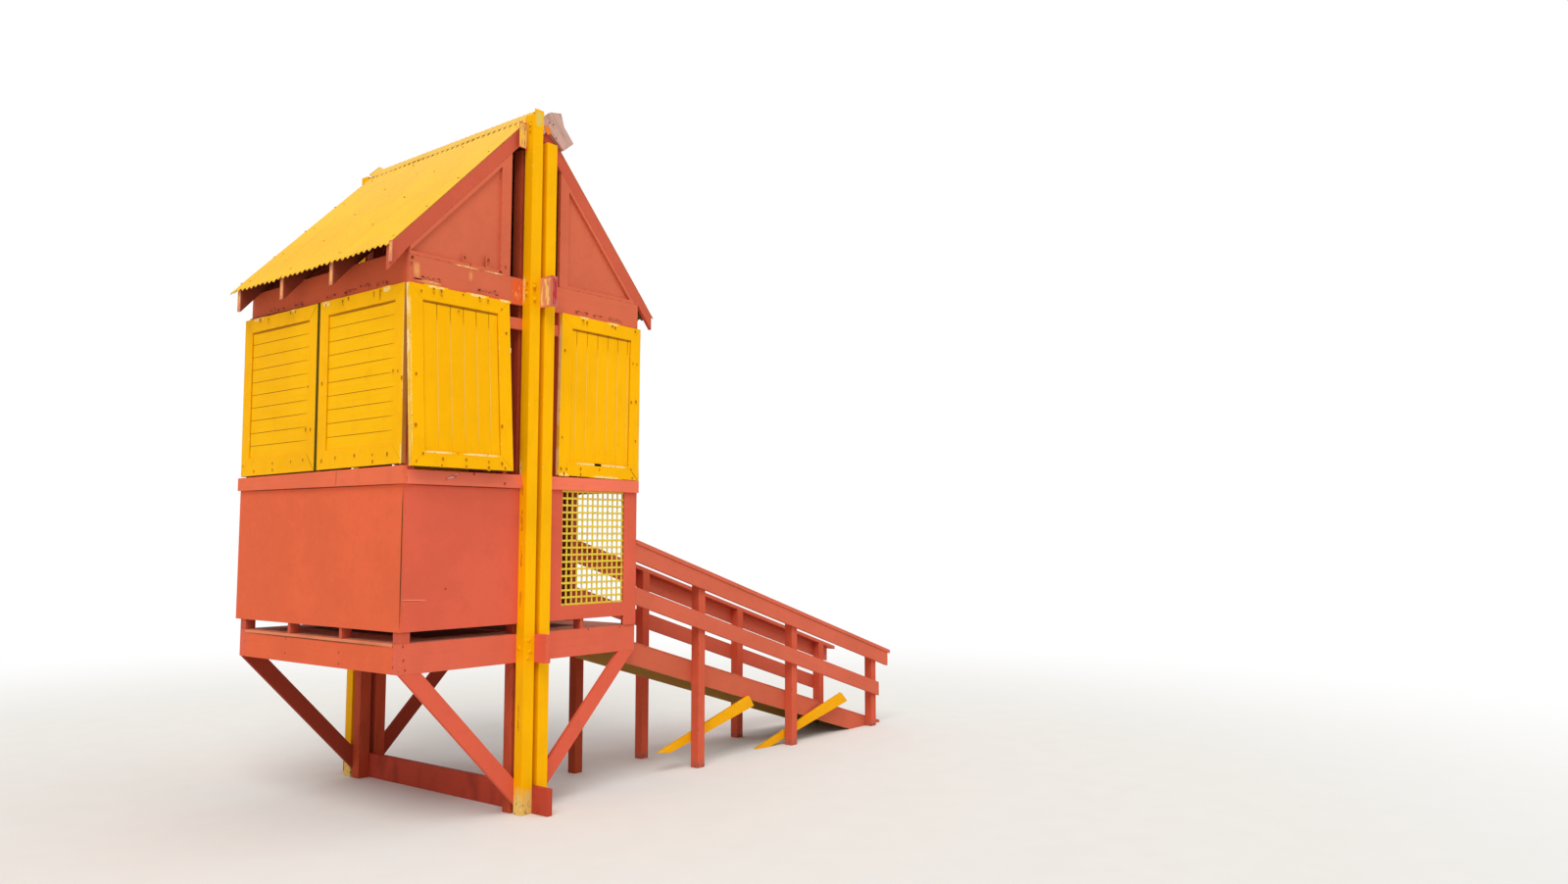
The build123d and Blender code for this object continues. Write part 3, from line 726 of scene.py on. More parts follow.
# Each shutter: its node, its place, and its width, height, foot board, first board, board pitch and lie
SHUTTERS = {
    "left_far": (
        "left_far_shutter",
        side_leaf(NEAR_END + SIDE_WIDTH + SHUTTER_GAP, -0.014),
        level_size(SIDE_WIDTH, 1.375),
    ),
    "left_near": ("left_near_shutter", side_leaf(NEAR_END, 0.002), level_size(SIDE_WIDTH, 1.375)),
    "front_left": (
        "front_left_shutter",
        leaf((-1.246, FRONT_WALL, LINTEL_BOTTOM), X, (0, -math.cos(OPEN), math.sin(OPEN))),
        upright_size(),
    ),
    "front_right": (
        "front_right_shutter",
        leaf((0.2745, FRONT_WALL, LINTEL_BOTTOM), (math.cos(FALL), 0, -math.sin(FALL)), -Y),
        upright_size(0.062),
    ),
    "rear_left": ("rear_shutters", leaf((1.22, REAR_WALL, LINTEL_BOTTOM), -X, Y), upright_size()),
    "rear_right": ("rear_shutters", leaf((-0.272, REAR_WALL, LINTEL_BOTTOM), -X, Y), upright_size()),
    "door": (
        "right_shutters",
        leaf((RIGHT_WALL, NEAR_END, DOOR_HEAD), Y, X),
        level_size(DOOR_FAR - NEAR_END, 1.47),
    ),
    "right_far": (
        "right_shutters",
        leaf((RIGHT_WALL, DOOR_FAR + SHUTTER_GAP, DOOR_HEAD), Y, X),
        level_size(REAR_WALL - DOOR_FAR - SHUTTER_GAP, 1.325),
    ),
}


def on_leaf(place, across, down, out=0.0):
    """Points at distances across, down and out from a shutter's upper left corner."""
    across, down, out = (value[..., None] for value in np.broadcast_arrays(across, down, out))
    return place.corner + across * place.along + down * place.down + out * place.out


def on_shutters(rows, fall, firm):
    """Spots on the shutters: for each shutter, rows of place across and down, width and tallness."""
    spots = []
    for name, marks in rows.items():
        place = SHUTTERS[name][1]
        for across, down, wide, tall in marks:
            centre = on_leaf(place, across, down, SHUTTER_THICK)
            spots.append((centre, place.out, place.down, wide, tall, fall, firm))
    return spots


def field_span(size):
    """Length of a shutter's field across and along its boards."""
    inside = (size.height - RAIL - size.foot, size.width - 2 * RAIL)
    return inside if size.lie == "level" else inside[::-1]


def field_joints(size):
    """Places of the joints between the boards of a shutter's field, from its upper or left edge."""
    return np.arange(size.first, field_span(size)[0] - 0.03, size.pitch)


def on_field(place, lie, across, along, out):
    """Points of a shutter's field at distances across and along its boards."""
    down, side = (across, along) if lie == "level" else (along, across)
    return on_leaf(place, RAIL + side, RAIL + down, SHUTTER_THICK - RECESS + out)


def field_boards(place, size, sizes):
    """Boards of a shutter's field as one grooved grid.

    Across the boards the surface is flat with a small crown, a parabola on each board, and drops
    in a V at each joint; along them it keeps its height.
    """
    span, other = field_span(size)
    joints = np.concatenate([[0], field_joints(size), [span]])
    starts, boards = joints[:-1, None], np.diff(joints)[:, None]
    share = np.array([0, 0, 0, 0.25, 0.5, 0.75, 1, 1])
    shift = np.array([0, 0.35, 1, 0, 0, 0, -1, -0.35]) * sizes.groove_width / 2
    dip = np.array([1, 0.9, 0, 0, 0, 0, 0, 0.9]) * sizes.groove_depth
    height = 0.0006
    crown = height * (1 - (2 * share - 1) ** 2)
    across = np.append((starts + share * boards + shift).reshape(-1), span)
    lift = np.append(np.tile(crown - dip, len(boards)), 0.0)
    lift[[0, 1, -2]] = 0.0
    a, b = np.meshgrid(across, np.linspace(0, other, 5), indexing="ij")
    grid = on_field(place, size.lie, a, b, sizes.groove_depth + height + lift[:, None])
    return grid[::-1] if size.lie == "level" else grid


def leaf_sides(place, width, height):
    """Thin faces over the left, right, upper and lower side of a shutter, a hair off the wood."""
    inset, off = 0.001, 0.0006
    out = np.linspace(inset, SHUTTER_THICK - inset, 3)
    grids = []
    for length, fixed in ((height, -off), (height, width + off), (width, -off), (width, height + off)):
        a, b = np.meshgrid(np.linspace(inset, length - inset, 24), out, indexing="ij")
        grids.append(on_leaf(place, fixed, a, b) if length == height else on_leaf(place, a, fixed, b))
    return grids


# Colours of the thin lines and side faces on the shutters
LINE_COLOURS = {
    "shutter_joints": (0.30, 0.12, 0.006),
    "recess_shadows": (0.44, 0.18, 0.005),
    "pale_joints": (0.92, 0.50, 0.055),
    # painted shade on the shutters' lower sides and on the far left shutter's sides
    "shutter_dirty_side": (0.15, 0.12, 0.014),
    "shutter_ochre_side": (0.50, 0.21, 0.045),
}
# Widths of the cracks in a shutter's mitres, in millimetres
CRACKS = {"front_right": (1, 1, 1, 7), "left_far": (1, 4, 1, 6)}


class TOWER_OT_shutters(bpy.types.Operator):
    """Shutters: yellow frames, grooved fields, joints, mitres and worn sides, some darkened as painted shade
    """

    bl_idname = "tower.shutters"
    bl_label = "Shutters"

    def execute(self, context):
        colours, sizes = chosen(context)
        yellow = colours.yellow
        nodes = " ".join(sorted({shutter[0] for shutter in SHUTTERS.values()}))
        coat_rows(sizes, (nodes, "shutter_yellow", yellow, "z", {"chips": colours.primer}))
        boards = {
            "level": timber_paint("board_yellow_level", shade(yellow, 1.05), "y"),
            "upright": timber_paint("board_yellow_upright", yellow, "z"),
        }
        level = sizes.groove_depth + 0.0012
        lift = SHUTTER_THICK - RECESS + level
        lines = {title: [] for title in (*LINE_COLOURS, "shutter_sides")}
        for name, (_, place, size) in SHUTTERS.items():
            width, height, foot, _, _, lie = size
            field = [field_boards(place, size, sizes)]
            mesh_of(name + "_field", field, boards[lie], smooth=False)
            length, joints = field_span(size)[1], field_joints(size)
            rows = [("shutter_joints", -0.09, length if lie == "level" else 0.15, 0.0042)]
            if lie == "upright":
                rows.append(("pale_joints", 0.10, length - 0.06, 0.013))
            for title, low, high, wide in rows:
                starts, ends = (on_field(place, lie, joints, along, level) for along in (low, high))
                lines[title] += ribbons(starts, ends, place.out, wide)
            top = (RAIL - 0.08, width - RAIL + 0.08)
            side = (RAIL - 0.08, height - foot + 0.08)
            for across, down, wide in (
                (top, RAIL + 0.010, 0.020),
                (RAIL + 0.004, side, 0.008),
                (width - RAIL - 0.003, side, 0.005),
            ):
                lines["recess_shadows"] += ribbons(*on_leaf(place, across, down, lift), place.out, wide)
            inner = [(RAIL, RAIL), (width - RAIL, RAIL), (RAIL, height - foot), (width - RAIL, height - foot)]
            outer = [(0, 0), (width, 0), (0, height), (width, height)]
            starts, ends = (on_leaf(place, *np.transpose(spots), SHUTTER_THICK) for spots in (inner, outer))
            cracks = np.array(CRACKS.get(name, (1, 1, 1, 1.5))) * 0.001
            lines["shutter_joints"] += ribbons(starts, ends, place.out, cracks)
            left, right, upper, lower = leaf_sides(place, width, height)
            # The lower sides, and all sides of the far left shutter, are darkened as painted shade
            title = "shutter_dirty_side" if name == "left_far" else "shutter_sides"
            lines["shutter_dirty_side"].append(lower)
            lines[title] += [left, upper]
            lines["shutter_ochre_side" if name == "left_near" else title].append(right)
        for title, colour in LINE_COLOURS.items():
            mesh_of(title, lines[title], timber_paint(title, colour), smooth=False)
        finish = weathered_side("shutter_side")
        mesh_of("shutter_sides", lines["shutter_sides"], finish, smooth=False)
        return {"FINISHED"}


def slope_height(side, x, y):
    """Height of the rafters' upper edge at x and y: it falls with the pitch and towards the rear."""
    return RIDGE - REAR_DROP * (y - FRONT_WALL) / DEPTH - np.abs(x) * math.tan(PITCH[side])


def corrugated(side, first, last, count, sizes):
    """Middle face of one roof sheet between two waves.

    Its height over the slope is a cosine across the waves, with a seeded swell of the wave's
    height, a lift over the last wave where it laps the next sheet, and a sag at the eave.
    """
    steps = (last - first) * 12 + 1
    wave = np.linspace(first, last, steps)
    run = np.concatenate([np.linspace(0, 0.9, 12), np.linspace(0.92, 1, 6)])
    w, r = np.meshgrid(wave, run, indexing="ij")
    y = FRONT_WALL + DEPTH * w / count
    x = 0.003 + (SLOPE_REACH - 0.003) * r
    rng = np.random.default_rng(11 + side)
    crests = np.arange(count + 1)
    swell = np.interp(w, crests, 1 + rng.normal(0, 0.09, count + 1))
    dent = np.interp(w, crests, rng.normal(0, 0.004, count + 1)) * np.clip((r - 0.9) / 0.1, 0, 1)
    half = sizes.wave_height / 2
    rise = half * (1 - np.cos(2 * math.pi * w) * np.minimum(swell, 1.0))
    lap = 0.003 * np.clip(w - (last - 1), 0, 1) * (last < count)
    sag = -0.006 * np.sin(math.pi * (y - FRONT_WALL) / DEPTH) * r
    z = slope_height(side, x, y) + 0.002 / math.cos(PITCH[side]) + rise + lap + dent + sag
    grid = points(side * x, y, z)
    return grid if side > 0 else grid[::-1]


class TOWER_OT_roof(bpy.types.Operator):
    """Corrugated roof sheets that lap each other, with their screws"""

    bl_idname = "tower.roof"
    bl_label = "Roof Sheets"

    def execute(self, context):
        colours, sizes = chosen(context)
        count, sheets = sizes.wave_count, 4
        # Roof paint with painted shade in the valleys
        finish = roof_paint("roof_yellow", colours.roof, count)
        # The sheets' dark underside is dirt on the bare sheet and painted shade under the roof
        under = timber_paint("roof_underside", (0.16, 0.085, 0.02), "y", grime=0.5)
        each = count // sheets
        crests, down = np.array([0.5, 10.5, 20.5, 29.5, 31.5]), np.linspace(0.2, SLOPE_REACH - 0.08, 5)
        w, x = np.meshgrid(crests, down, indexing="ij")
        y = FRONT_WALL + DEPTH * w / count
        heads = []
        for side, node in ((-1, "left_roof_sheet"), (1, "right_roof_sheet")):
            spans = [(k * each, min((k + 1) * each + 1, count)) for k in range(sheets)]
            grids = [corrugated(side, first, last, count, sizes) for first, last in spans]
            made = mesh_of(node.replace("sheet", "waves"), grids, finish)
            made.data.materials.append(under)
            thicken(made, sizes.sheet_thickness, 0).material_offset = 1
            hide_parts(node)
            z = slope_height(side, x, y) + sizes.wave_height + 0.004 / math.cos(PITCH[side])
            normal = (side * math.sin(PITCH[side]), 0, math.cos(PITCH[side]))
            screws = points(side * x, y, z).reshape(-1, 3)
            heads += domes(screws, normal, 0.010, 0.003) + domes(screws, normal, 0.005, 0.006)
        head_finish = rusty_metal("roof_screw_rust", colours.rust, colours.roof)
        mesh_of("roof_screws", heads, head_finish, closed=True)
        return {"FINISHED"}


def cap_profile():
    """Cross-section of the ridge cap: two straight wings, a round top and lips turned down."""
    wings = []
    for side in (-1, 1):
        way = np.array([side * math.cos(PITCH[side]), -math.sin(PITCH[side])])
        edge, inner = CAP_WING * way, CAP_ROLL * way
        between = [edge * (1 - share) + inner * share for share in (0, 0.25, 0.5, 0.9)]
        wings.append([edge - (0, 0.006), *between])
    left, right = wings
    across, drop = CAP_ROLL * math.cos(PITCH[1]), CAP_ROLL * math.sin(PITCH[1])
    top = 0.55 * drop
    arc = [(across * s, -top - (drop - top) * s * s) for s in np.linspace(-0.9, 0.9, 7)]
    return np.array(left + arc + right[::-1])


class TOWER_OT_cap(bpy.types.Operator):
    """Ridge cap of folded sheet, its rear end curled up"""

    bl_idname = "tower.cap"
    bl_label = "Ridge Cap"

    def execute(self, context):
        colours, sizes = chosen(context)
        count = sizes.wave_count
        low, high = (np.array(corner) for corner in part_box("ridge_cap"))
        profile = cap_profile()
        y = np.linspace(low[1] + 0.001, high[1] - 0.001, 60)[:, None]
        along = (y - FRONT_WALL) / DEPTH
        bends = np.random.default_rng(5).normal(0, 0.0022, 14)
        wave = np.interp(along, np.linspace(0, 1, 14), bends)
        curl = 0.035 * np.clip((along - 0.965) / 0.035, 0, 1) ** 2
        weight = np.abs(profile[:, 0]) / np.abs(profile[:, 0]).max()
        z = high[2] - 0.004 - REAR_DROP * along + profile[:, 1] + wave * weight + curl
        grid = points(profile[:, 0], y, z)
        # The cap's paint carries the same painted shade in the valleys
        finish = roof_paint("cap_yellow", colours.roof, count)
        made = mesh_of("ridge_cap_fold", [grid[:, ::-1]], finish)
        thicken(made, 0.002, -1)
        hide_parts("ridge_cap")
        # Painted shadows: dark spots below the cap's lower edge, one in each valley under it
        y = FRONT_WALL + DEPTH * np.arange(1, count) / count
        spots = []
        for side in (-1, 1):
            cos, sin = math.cos(PITCH[side]), math.sin(PITCH[side])
            x = (CAP_WING + 0.004) * cos
            valleys = points(side * x, y, slope_height(side, x, y) + 0.006 / cos)
            out, down = (side * sin, 0, cos), (side * cos, 0, -sin)
            spots += [(valley, out, down, DEPTH / count * 0.74, 0.030, 1.0, 2.5) for valley in valleys]
        marks = [((0.10, 0.045, 0.008), 40, (1, 1, 1), 0.42, 0.1)]
        stained("cap_gaps", spots, colours.roof, "left_slope", marks, 0.002, "cap_gap")
        return {"FINISHED"}


class TOWER_OT_roof_timber(bpy.types.Operator):
    """Rafters, gable rafters and the weathered board at the ridge"""

    bl_idname = "tower.roof_timber"
    bl_label = "Roof Timber"

    def execute(self, context):
        colours, sizes = chosen(context)
        pale = {"chips": (0.85, 0.42, 0.16), "edge_share": 0.04}
        coat_rows(
            sizes,
            # The rafters' dark red is painted shade under the eaves
            ("rafters", "rafter_red", (0.27, 0.052, 0.026), "right_slope", pale),
            ("rake_boards", "rake_red", (0.60, 0.108, 0.056), "sheet"),
        )
        wood = bare_timber("ridge_board_wood", colours.bare, "right_slope")
        coat("ridge_board", wood, wood, sizes)
        return {"FINISHED"}


class TOWER_OT_ramp(bpy.types.Operator):
    """Ramp: posts, rails, stringers, diagonal boards and the floor's cross boards"""

    bl_idname = "tower.ramp"
    bl_label = "Ramp"

    def execute(self, context):
        colours, sizes = chosen(context)
        worn = {"foot": (0.52, 0.12, 0.08), "foot_top": 0.10}
        chipped = {"chips": colours.primer, "grime": 0.1}
        coat_rows(
            sizes,
            ("ramp_posts", "ramp_post_red", (0.65, 0.112, 0.055), "z", worn),
            ("rail_caps rail_boards", "rail_red", (0.66, 0.136, 0.073), "ramp"),
            ("ramp_braces", "ramp_brace_yellow", (0.88, 0.40, 0.004), "ramp", chipped),
        )
        stringer = stringer_paint("stringer_red", (0.61, 0.128, 0.066), (0.43, 0.237, 0.06))
        coat("ramp_stringers", stringer, stringer, sizes)
        low, high = (np.array(corner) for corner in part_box("ramp_deck"))
        pitch = math.atan(RAMP_FALL)
        along = np.array([math.cos(pitch), 0, -math.sin(pitch)])
        out = np.array([math.sin(pitch), 0, math.cos(pitch)])
        length = (high[0] - low[0]) / math.cos(pitch)
        count = int(length // sizes.ramp_board)
        board, thick, gap, off = length / count, 0.018, 0.006, 0.001
        middle = along * ((np.arange(count) + 0.5) * board)[:, None] - out * (thick / 2 + off)
        middle += (low[0], 0, high[2])
        starts, ends = middle + Y * (low[1] + 0.002), middle + Y * (high[1] - 0.002)
        grids = bars(starts, ends, out, board - gap, thick, 0.002)
        chips = (0.36, 0.20, 0.12)
        wood = timber_paint("ramp_floor_paint", (0.60, 0.115, 0.055), "y", chips, 0.05, grime=0.3)
        made = mesh_of("ramp_floor_boards", grids, wood, closed=True, smooth=False)
        made.data.materials.append(timber_paint("ramp_underside", (0.26, 0.15, 0.05), "y", grime=0.4))
        facing = np.empty(len(made.data.polygons) * 3)
        made.data.polygons.foreach_get("normal", facing)
        made.data.polygons.foreach_set("material_index", (facing[2::3] < -0.5).astype(np.int32))
        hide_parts("ramp_deck")
        return {"FINISHED"}


# Screws on the four shutters that the photograph shows, across and down from the upper left corner
SCREWS = {
    "left_far": [
        (0.524, 1.282), (0.527, 1.338), (0.814, 1.282), (1.002, 1.279), (0.219, 1.335), (0.032, 1.28),
        (1.051, 0.676), (1.033, 1.031), (1.102, 1.035), (0.39, 0.034), (0.748, 0.018), (0.819, 0.021),
    ],
    "left_near": [
        (0.075, 1.303), (0.273, 1.289), (0.543, 1.284), (0.788, 1.291), (0.791, 1.343), (0.982, 1.297),
        (1.038, 0.666), (1.099, 0.672), (1.151, 0.73), (0.052, 0.672), (0.083, 0.031), (0.324, 0.033),
        (0.407, 0.022), (0.86, 0.022),
    ],
    "front_left": [
        (0.105, 0.054), (0.49, 0.02), (0.446, 0.159), (0.906, 0.272), (0.05, 0.702), (0.04, 1.093),
        (0.842, 1.044), (0.834, 1.346), (0.043, 1.363), (0.101, 1.305), (0.277, 1.336), (0.267, 1.385),
        (0.491, 1.331), (0.49, 1.383), (0.706, 1.338), (0.704, 1.385), (0.865, 1.380), (0.865, 0.077),
        (0.217, 0.022), (0.286, 0.028), (0.647, 0.020), (0.732, 0.026),
    ],
    "front_right": [
        (0.878, 0.028), (0.037, 0.324), (0.856, 0.328), (0.908, 0.329), (0.845, 0.687), (0.904, 0.678),
        (0.908, 1.039), (0.031, 1.074), (0.024, 1.344), (0.088, 1.343), (0.25, 1.333), (0.252, 1.380),
        (0.471, 1.327), (0.06, 1.383), (0.86, 1.304), (0.877, 1.380), (0.234, 0.030), (0.282, 0.044),
        (0.588, 0.024), (0.624, 0.033),
    ],
}


def frame_screws(width, height, foot, seed):
    """Screws of the other shutters: pairs along the lower board, and single ones up the sides."""
    rng = np.random.default_rng(seed)
    columns = np.linspace(0.12, width - 0.12, 4)
    sides = np.linspace(0.32, height - 0.35, 3)
    left, right = np.full(3, 0.04), np.full(3, width - 0.04)
    across = np.concatenate([columns, columns, left, right, [0.03, width - 0.03]])
    low, lower = np.full(4, height - foot * 0.66), np.full(4, height - foot * 0.25)
    down = np.concatenate([low, lower, sides, sides, [0.04, 0.04]])
    return np.stack([across, down], -1) + rng.normal(0, 0.011, (len(across), 2))

# Screws on the walls: on the front place, stand of the face and height, on the left place and height
FRONT_SCREWS = [
    (-1.191, 0, 1.414), (-1.183, 0, 1.312), (-1.168, 0, 1.239), (0.654, 0, 1.425), (1.031, 0, 1.42),
    (-0.311, 0.038, 2.655), (-0.613, 0.038, 2.722), (-0.837, SHEET_STAND, 1.827),
]
LEFT_SCREWS = [
    (-0.362, 1.406), (-0.366, 1.325), (-0.372, 1.24), (0.42, 1.39), (0.43, 1.27), (-1.08, 1.41),
    (-1.09, 1.26),
]
# Bolts of the outer posts, place and height on each face
LEFT_BOLTS = [(-1.207, 1.327), (-1.22, 4.25), (-1.228, 5.69)]
FRONT_BOLTS = [
    (-0.086, 1.39), (-0.074, 1.298), (-0.093, 1.248), (-0.092, 4.31), (-0.088, 4.20),
    (0.06, 1.37), (0.10, 1.26), (0.08, 4.25),
]
REAR_BOLTS = [(x, z) for x in (-0.08, 0.08) for z in (0.12, 1.26, 1.37, 4.23)]
FRONT_DRIPS = [(-0.09, 4.29, 0.05, 0.10), (-0.086, 4.18, 0.04, 0.06)]
LEFT_DRIPS = [
    (-1.22, 4.24, 0.035, 0.10), (-1.228, 5.68, 0.035, 0.07), (-1.225, 4.32, 0.035, 0.05),
    (-1.228, 5.62, 0.035, 0.03),
]


class TOWER_OT_fasteners(bpy.types.Operator):
    """Screws of the shutters and walls in their rust, and bolts of the posts"""

    bl_idname = "tower.fasteners"
    bl_label = "Screws and Bolts"

    def execute(self, context):
        colours, sizes = chosen(context)
        yellow, rust = colours.yellow, colours.rust
        heads, spots = [], []
        for seed, (name, (_, place, size)) in enumerate(SHUTTERS.items()):
            where = SCREWS.get(name) or frame_screws(*size[:3], seed)
            screws = on_leaf(place, *np.transpose(where), SHUTTER_THICK)
            heads += domes(screws, place.out, sizes.screw_radius, 0.0012)
            for screw, scale in zip(screws, np.random.default_rng(20 + seed).uniform(0.7, 1.25, len(screws))):
                centre = screw + 0.004 * place.down
                spots.append((centre, place.out, place.down, scale * 0.024, scale * 0.034, 2.0, 1.5))
        metal = rusty_metal("screw_rust", rust)
        mesh_of("shutter_screws", heads, metal, closed=True)
        marks = [((0.42, 0.13, 0.005), 90, (1, 1, 0.5), 0.55, 0.25), (rust, 150, (1, 1, 1), 0.95, 0.10)]
        title = "screw_stain_yellow"
        stained("shutter_screw_stains", spots, yellow, "z", marks, 0.0016, title)
        front = [(x, FRONT_WALL - stand, z) for x, stand, z in FRONT_SCREWS]
        left = [(LEFT_WALL, y, z) for y, z in LEFT_SCREWS]
        heads = domes(front, -Y, 0.005, 0.0012) + domes(left, -X, 0.005, 0.0012)
        mesh_of("wall_screws", heads, metal, closed=True)
        spots = [(screw, -Y, -Z, 0.020, 0.026, 2.0, 1.3) for screw in front]
        spots += [(screw, -X, -Z, 0.018, 0.024, 2.0, 1.3) for screw in left]
        marks = [((0.36, 0.05, 0.02), 90, (1, 1, 0.5), 0.6, 0.2), (rust, 150, (1, 1, 1), 1.05, 0.10)]
        stained("wall_screw_stains", spots, colours.red, "sheet", marks, title="screw_stain_red")
        bolt, high = sizes.bolt_radius, 0.011
        heads = domes([(POST_LEFT, y, z) for y, z in LEFT_BOLTS], -X, bolt, high)
        heads += domes([(x, POST_FRONT, z) for x, z in FRONT_BOLTS], -Y, bolt, high)
        heads += domes([(x, -POST_FRONT, z) for x, z in REAR_BOLTS], Y, bolt, high)
        finish = rusty_metal("bolt_painted", (0.80, 0.34, 0.004), yellow)
        mesh_of("post_bolts", heads, finish, closed=True)
        drips = on_wall("front", POST_FRONT, FRONT_DRIPS, 2.2, 1.5)
        drips += on_wall("left", POST_LEFT, LEFT_DRIPS, 2.2, 1.5)
        marks = [
            ((0.62, 0.22, 0.004), 50, (1, 1, 0.5), 0.55, 0.25),
            ((0.22, 0.07, 0.006), 70, (1, 1, 0.6), 1.05, 0.08),
        ]
        stained("bolt_rust", drips, yellow, "z", marks, 0.0016)
        return {"FINISHED"}


# Hinges above the shutters: place along the wall, height, length and height of the rusted leaf
HINGES = {
    "left": [
        (0.97, 4.148, 0.14, 0.05), (0.82, 4.172, 0.12, 0.06), (0.68, 4.178, 0.12, 0.035),
        (0.40, 4.184, 0.14, 0.06),
        (-0.09, 4.184, 0.12, 0.06), (-0.365, 4.192, 0.14, 0.07), (-0.585, 4.212, 0.15, 0.05),
        (-0.81, 4.200, 0.15, 0.06),
    ],
    "front": [
        (-1.03, 4.213, 0.20, 0.055), (-0.48, 4.208, 0.20, 0.042), (0.53, 4.192, 0.17, 0.055),
        (0.72, 4.198, 0.12, 0.03),
        (0.93, 4.190, 0.17, 0.055),
    ],
}


class TOWER_OT_hinges(bpy.types.Operator):
    """Rusted hinges above the shutters: a leaf under old paint, a few screws and spots of rust"""

    bl_idname = "tower.hinges"
    bl_label = "Hinges"

    def execute(self, context):
        colours, sizes = chosen(context)
        marks = [
            ((0.24, 0.052, 0.028), 45, (1, 1, 0.5), 0.66, 0.3),
            ((0.04, 0.014, 0.01), 30, (1, 1, 1), 0.86, 0.16),
        ]
        # The band's colour, darkened as painted shade, so that the stains on it match
        band = shade(colours.side_red, BAND_SHADE)
        pins = []
        rng = np.random.default_rng(31)
        for wall, origin, out, along, paint, grain in (
            ("left", LEFT_WALL * X, -X, Y, band, "y"),
            ("front", FRONT_WALL * Y, -Y, X, LINTEL_RED, "x"),
        ):
            leaves, spots = [], []
            for place, height, length, tall in HINGES[wall]:
                middle, half = origin + place * along + height * Z, 0.45 * length * along
                leaves += bars(middle - half, middle + half, out, 0.5 * tall, 0.002)
                steps = np.linspace(-0.4, 0.4, max(2, round(length / 0.085)))
                screws = middle + (steps * length + rng.normal(0, 0.011, len(steps)))[:, None] * along
                screws += rng.normal(0, 0.009, (len(steps), 1)) * Z
                pins += domes(screws, out, 0.8 * sizes.screw_radius, 0.002)
                for screw in screws:
                    wide, high = rng.uniform(0.02, 0.06), rng.uniform(0.012, 0.034)
                    spots.append((screw - 0.2 * high * Z, out, -Z, wide, high, 2.0, 1.6))
            stained(wall + "_hinge_stains", spots, paint, grain, marks, lift=0.0018)
            metal = rusty_metal(wall + "_hinge_metal", (0.10, 0.03, 0.016), shade(paint, 0.92))
            mesh_of(wall + "_hinge_leaves", leaves, metal, closed=True, smooth=False)
        metal = rusty_metal("hinge_screw_rust", shade(colours.rust, 0.6))
        mesh_of("hinge_screws", pins, metal, closed=True)
        return {"FINISHED"}


# Rust, chips and painted ledge highlights on the shutters: place across and down from the upper left corner,
# width and tallness
SHUTTER_RUST = {
    "left_far": [(0.25, 0.03, 0.05, 0.05), (0.39, 0.05, 0.03, 0.07)],
    "left_near": [(0.33, 0.05, 0.03, 0.06), (0.761, 0.045, 0.022, 0.07), (0.845, 0.06, 0.035, 0.12)],
    "front_left": [
        (0.217, 0.045, 0.035, 0.07), (0.286, 0.05, 0.045, 0.08), (0.65, 0.04, 0.035, 0.05),
        (0.73, 0.04, 0.035, 0.05),
    ],
    "front_right": [
        (0.24, 0.045, 0.03, 0.06), (0.285, 0.06, 0.02, 0.05), (0.595, 0.03, 0.03, 0.03),
        (0.63, 0.038, 0.02, 0.04),
    ],
}
# The rows at FIELD_END lie along the fields' lower ledges: pale chips, and painted highlight of the lit ledge
FIELD_END = END_HEIGHT - RAIL + 0.006
SHUTTER_CHIPS_AND_HIGHLIGHTS = {
    "left_far": [(0.23, 0.014, 0.20, 0.03), (0.78, 0.010, 0.12, 0.022)],
    "left_near": [
        (0.09, 0.024, 0.12, 0.045), (0.93, 0.022, 0.12, 0.05), (1.152, 1.30, 0.022, 0.16),
        (1.159, 0.5, 0.010, 0.9),
    ],
    "front_left": [
        (0.24, 0.005, 0.22, 0.024), (0.63, 0.005, 0.22, 0.024), (0.90, 0.006, 0.12, 0.024),
        (0.006, 0.7, 0.011, 1.36), (0.25, FIELD_END, 0.34, 0.020), (0.635, FIELD_END, 0.45, 0.020),
    ],
    "front_right": [
        (0.25, 0.006, 0.12, 0.02), (0.60, 0.008, 0.16, 0.026), (0.06, 1.392, 0.12, 0.03),
        (0.55, 1.392, 0.40, 0.022), (0.32, FIELD_END, 0.34, 0.020), (0.635, FIELD_END, 0.45, 0.020),
    ],
}
# Wear on the walls and posts, as on_wall reads it
LINTEL_RUST = [
    (-1.200, 4.353, 0.05, 0.036, 1.0), (-1.20, 4.285, 0.04, 0.09, 2.0), (-0.72, 4.438, 0.04, 0.05, 1.5),
    (-0.491, 4.447, 0.05, 0.09, 1.5), (-0.315, 4.43, 0.035, 0.06, 2.0), (-0.366, 4.392, 0.05, 0.03, 1.0),
    (-0.665, 4.39, 0.03, 0.05, 1.5), (-0.40, 4.20, 0.05, 0.03, 1.0), (-0.566, 4.209, 0.03, 0.03, 1.0),
]
LINTEL_SCUFFS = [
    (-1.155, 4.265, 0.09, 0.15, 1.0, 1.1), (-0.66, 4.298, 0.07, 0.12, 1.6, 1.0),
    (-0.70, 4.372, 0.28, 0.018, 1.0, 2.0), (-0.43, 4.372, 0.23, 0.012, 1.0, 2.0),
    (-1.04, 4.185, 0.28, 0.03, 1.0, 1.5),
]
POST_FLAKES = [
    (-1.215, 2.62, 0.05, 0.21), (-1.215, 2.355, 0.06, 0.28), (-1.215, 2.07, 0.05, 0.26),
    (-1.215, 1.72, 0.03, 0.20), (-1.215, 0.75, 0.03, 0.5),
]
POST_PRIMER = [(-1.19, 2.78, 0.035, 0.20), (-1.19, 4.28, 0.035, 0.26), (-1.19, 5.60, 0.035, 0.24)]
RAFTER_SHARES = (0.335, 0.652, 0.951)  # of the roof's depth, from the front


def stain_layers(layers):
    """Stain layers of boards, each given as its name, spots, paint, grain and marks."""
    for name, spots, paint, grain, *marks in layers:
        stained(name, spots, paint, grain, marks, 0.0012 if name == "post_primer" else 0.0008)


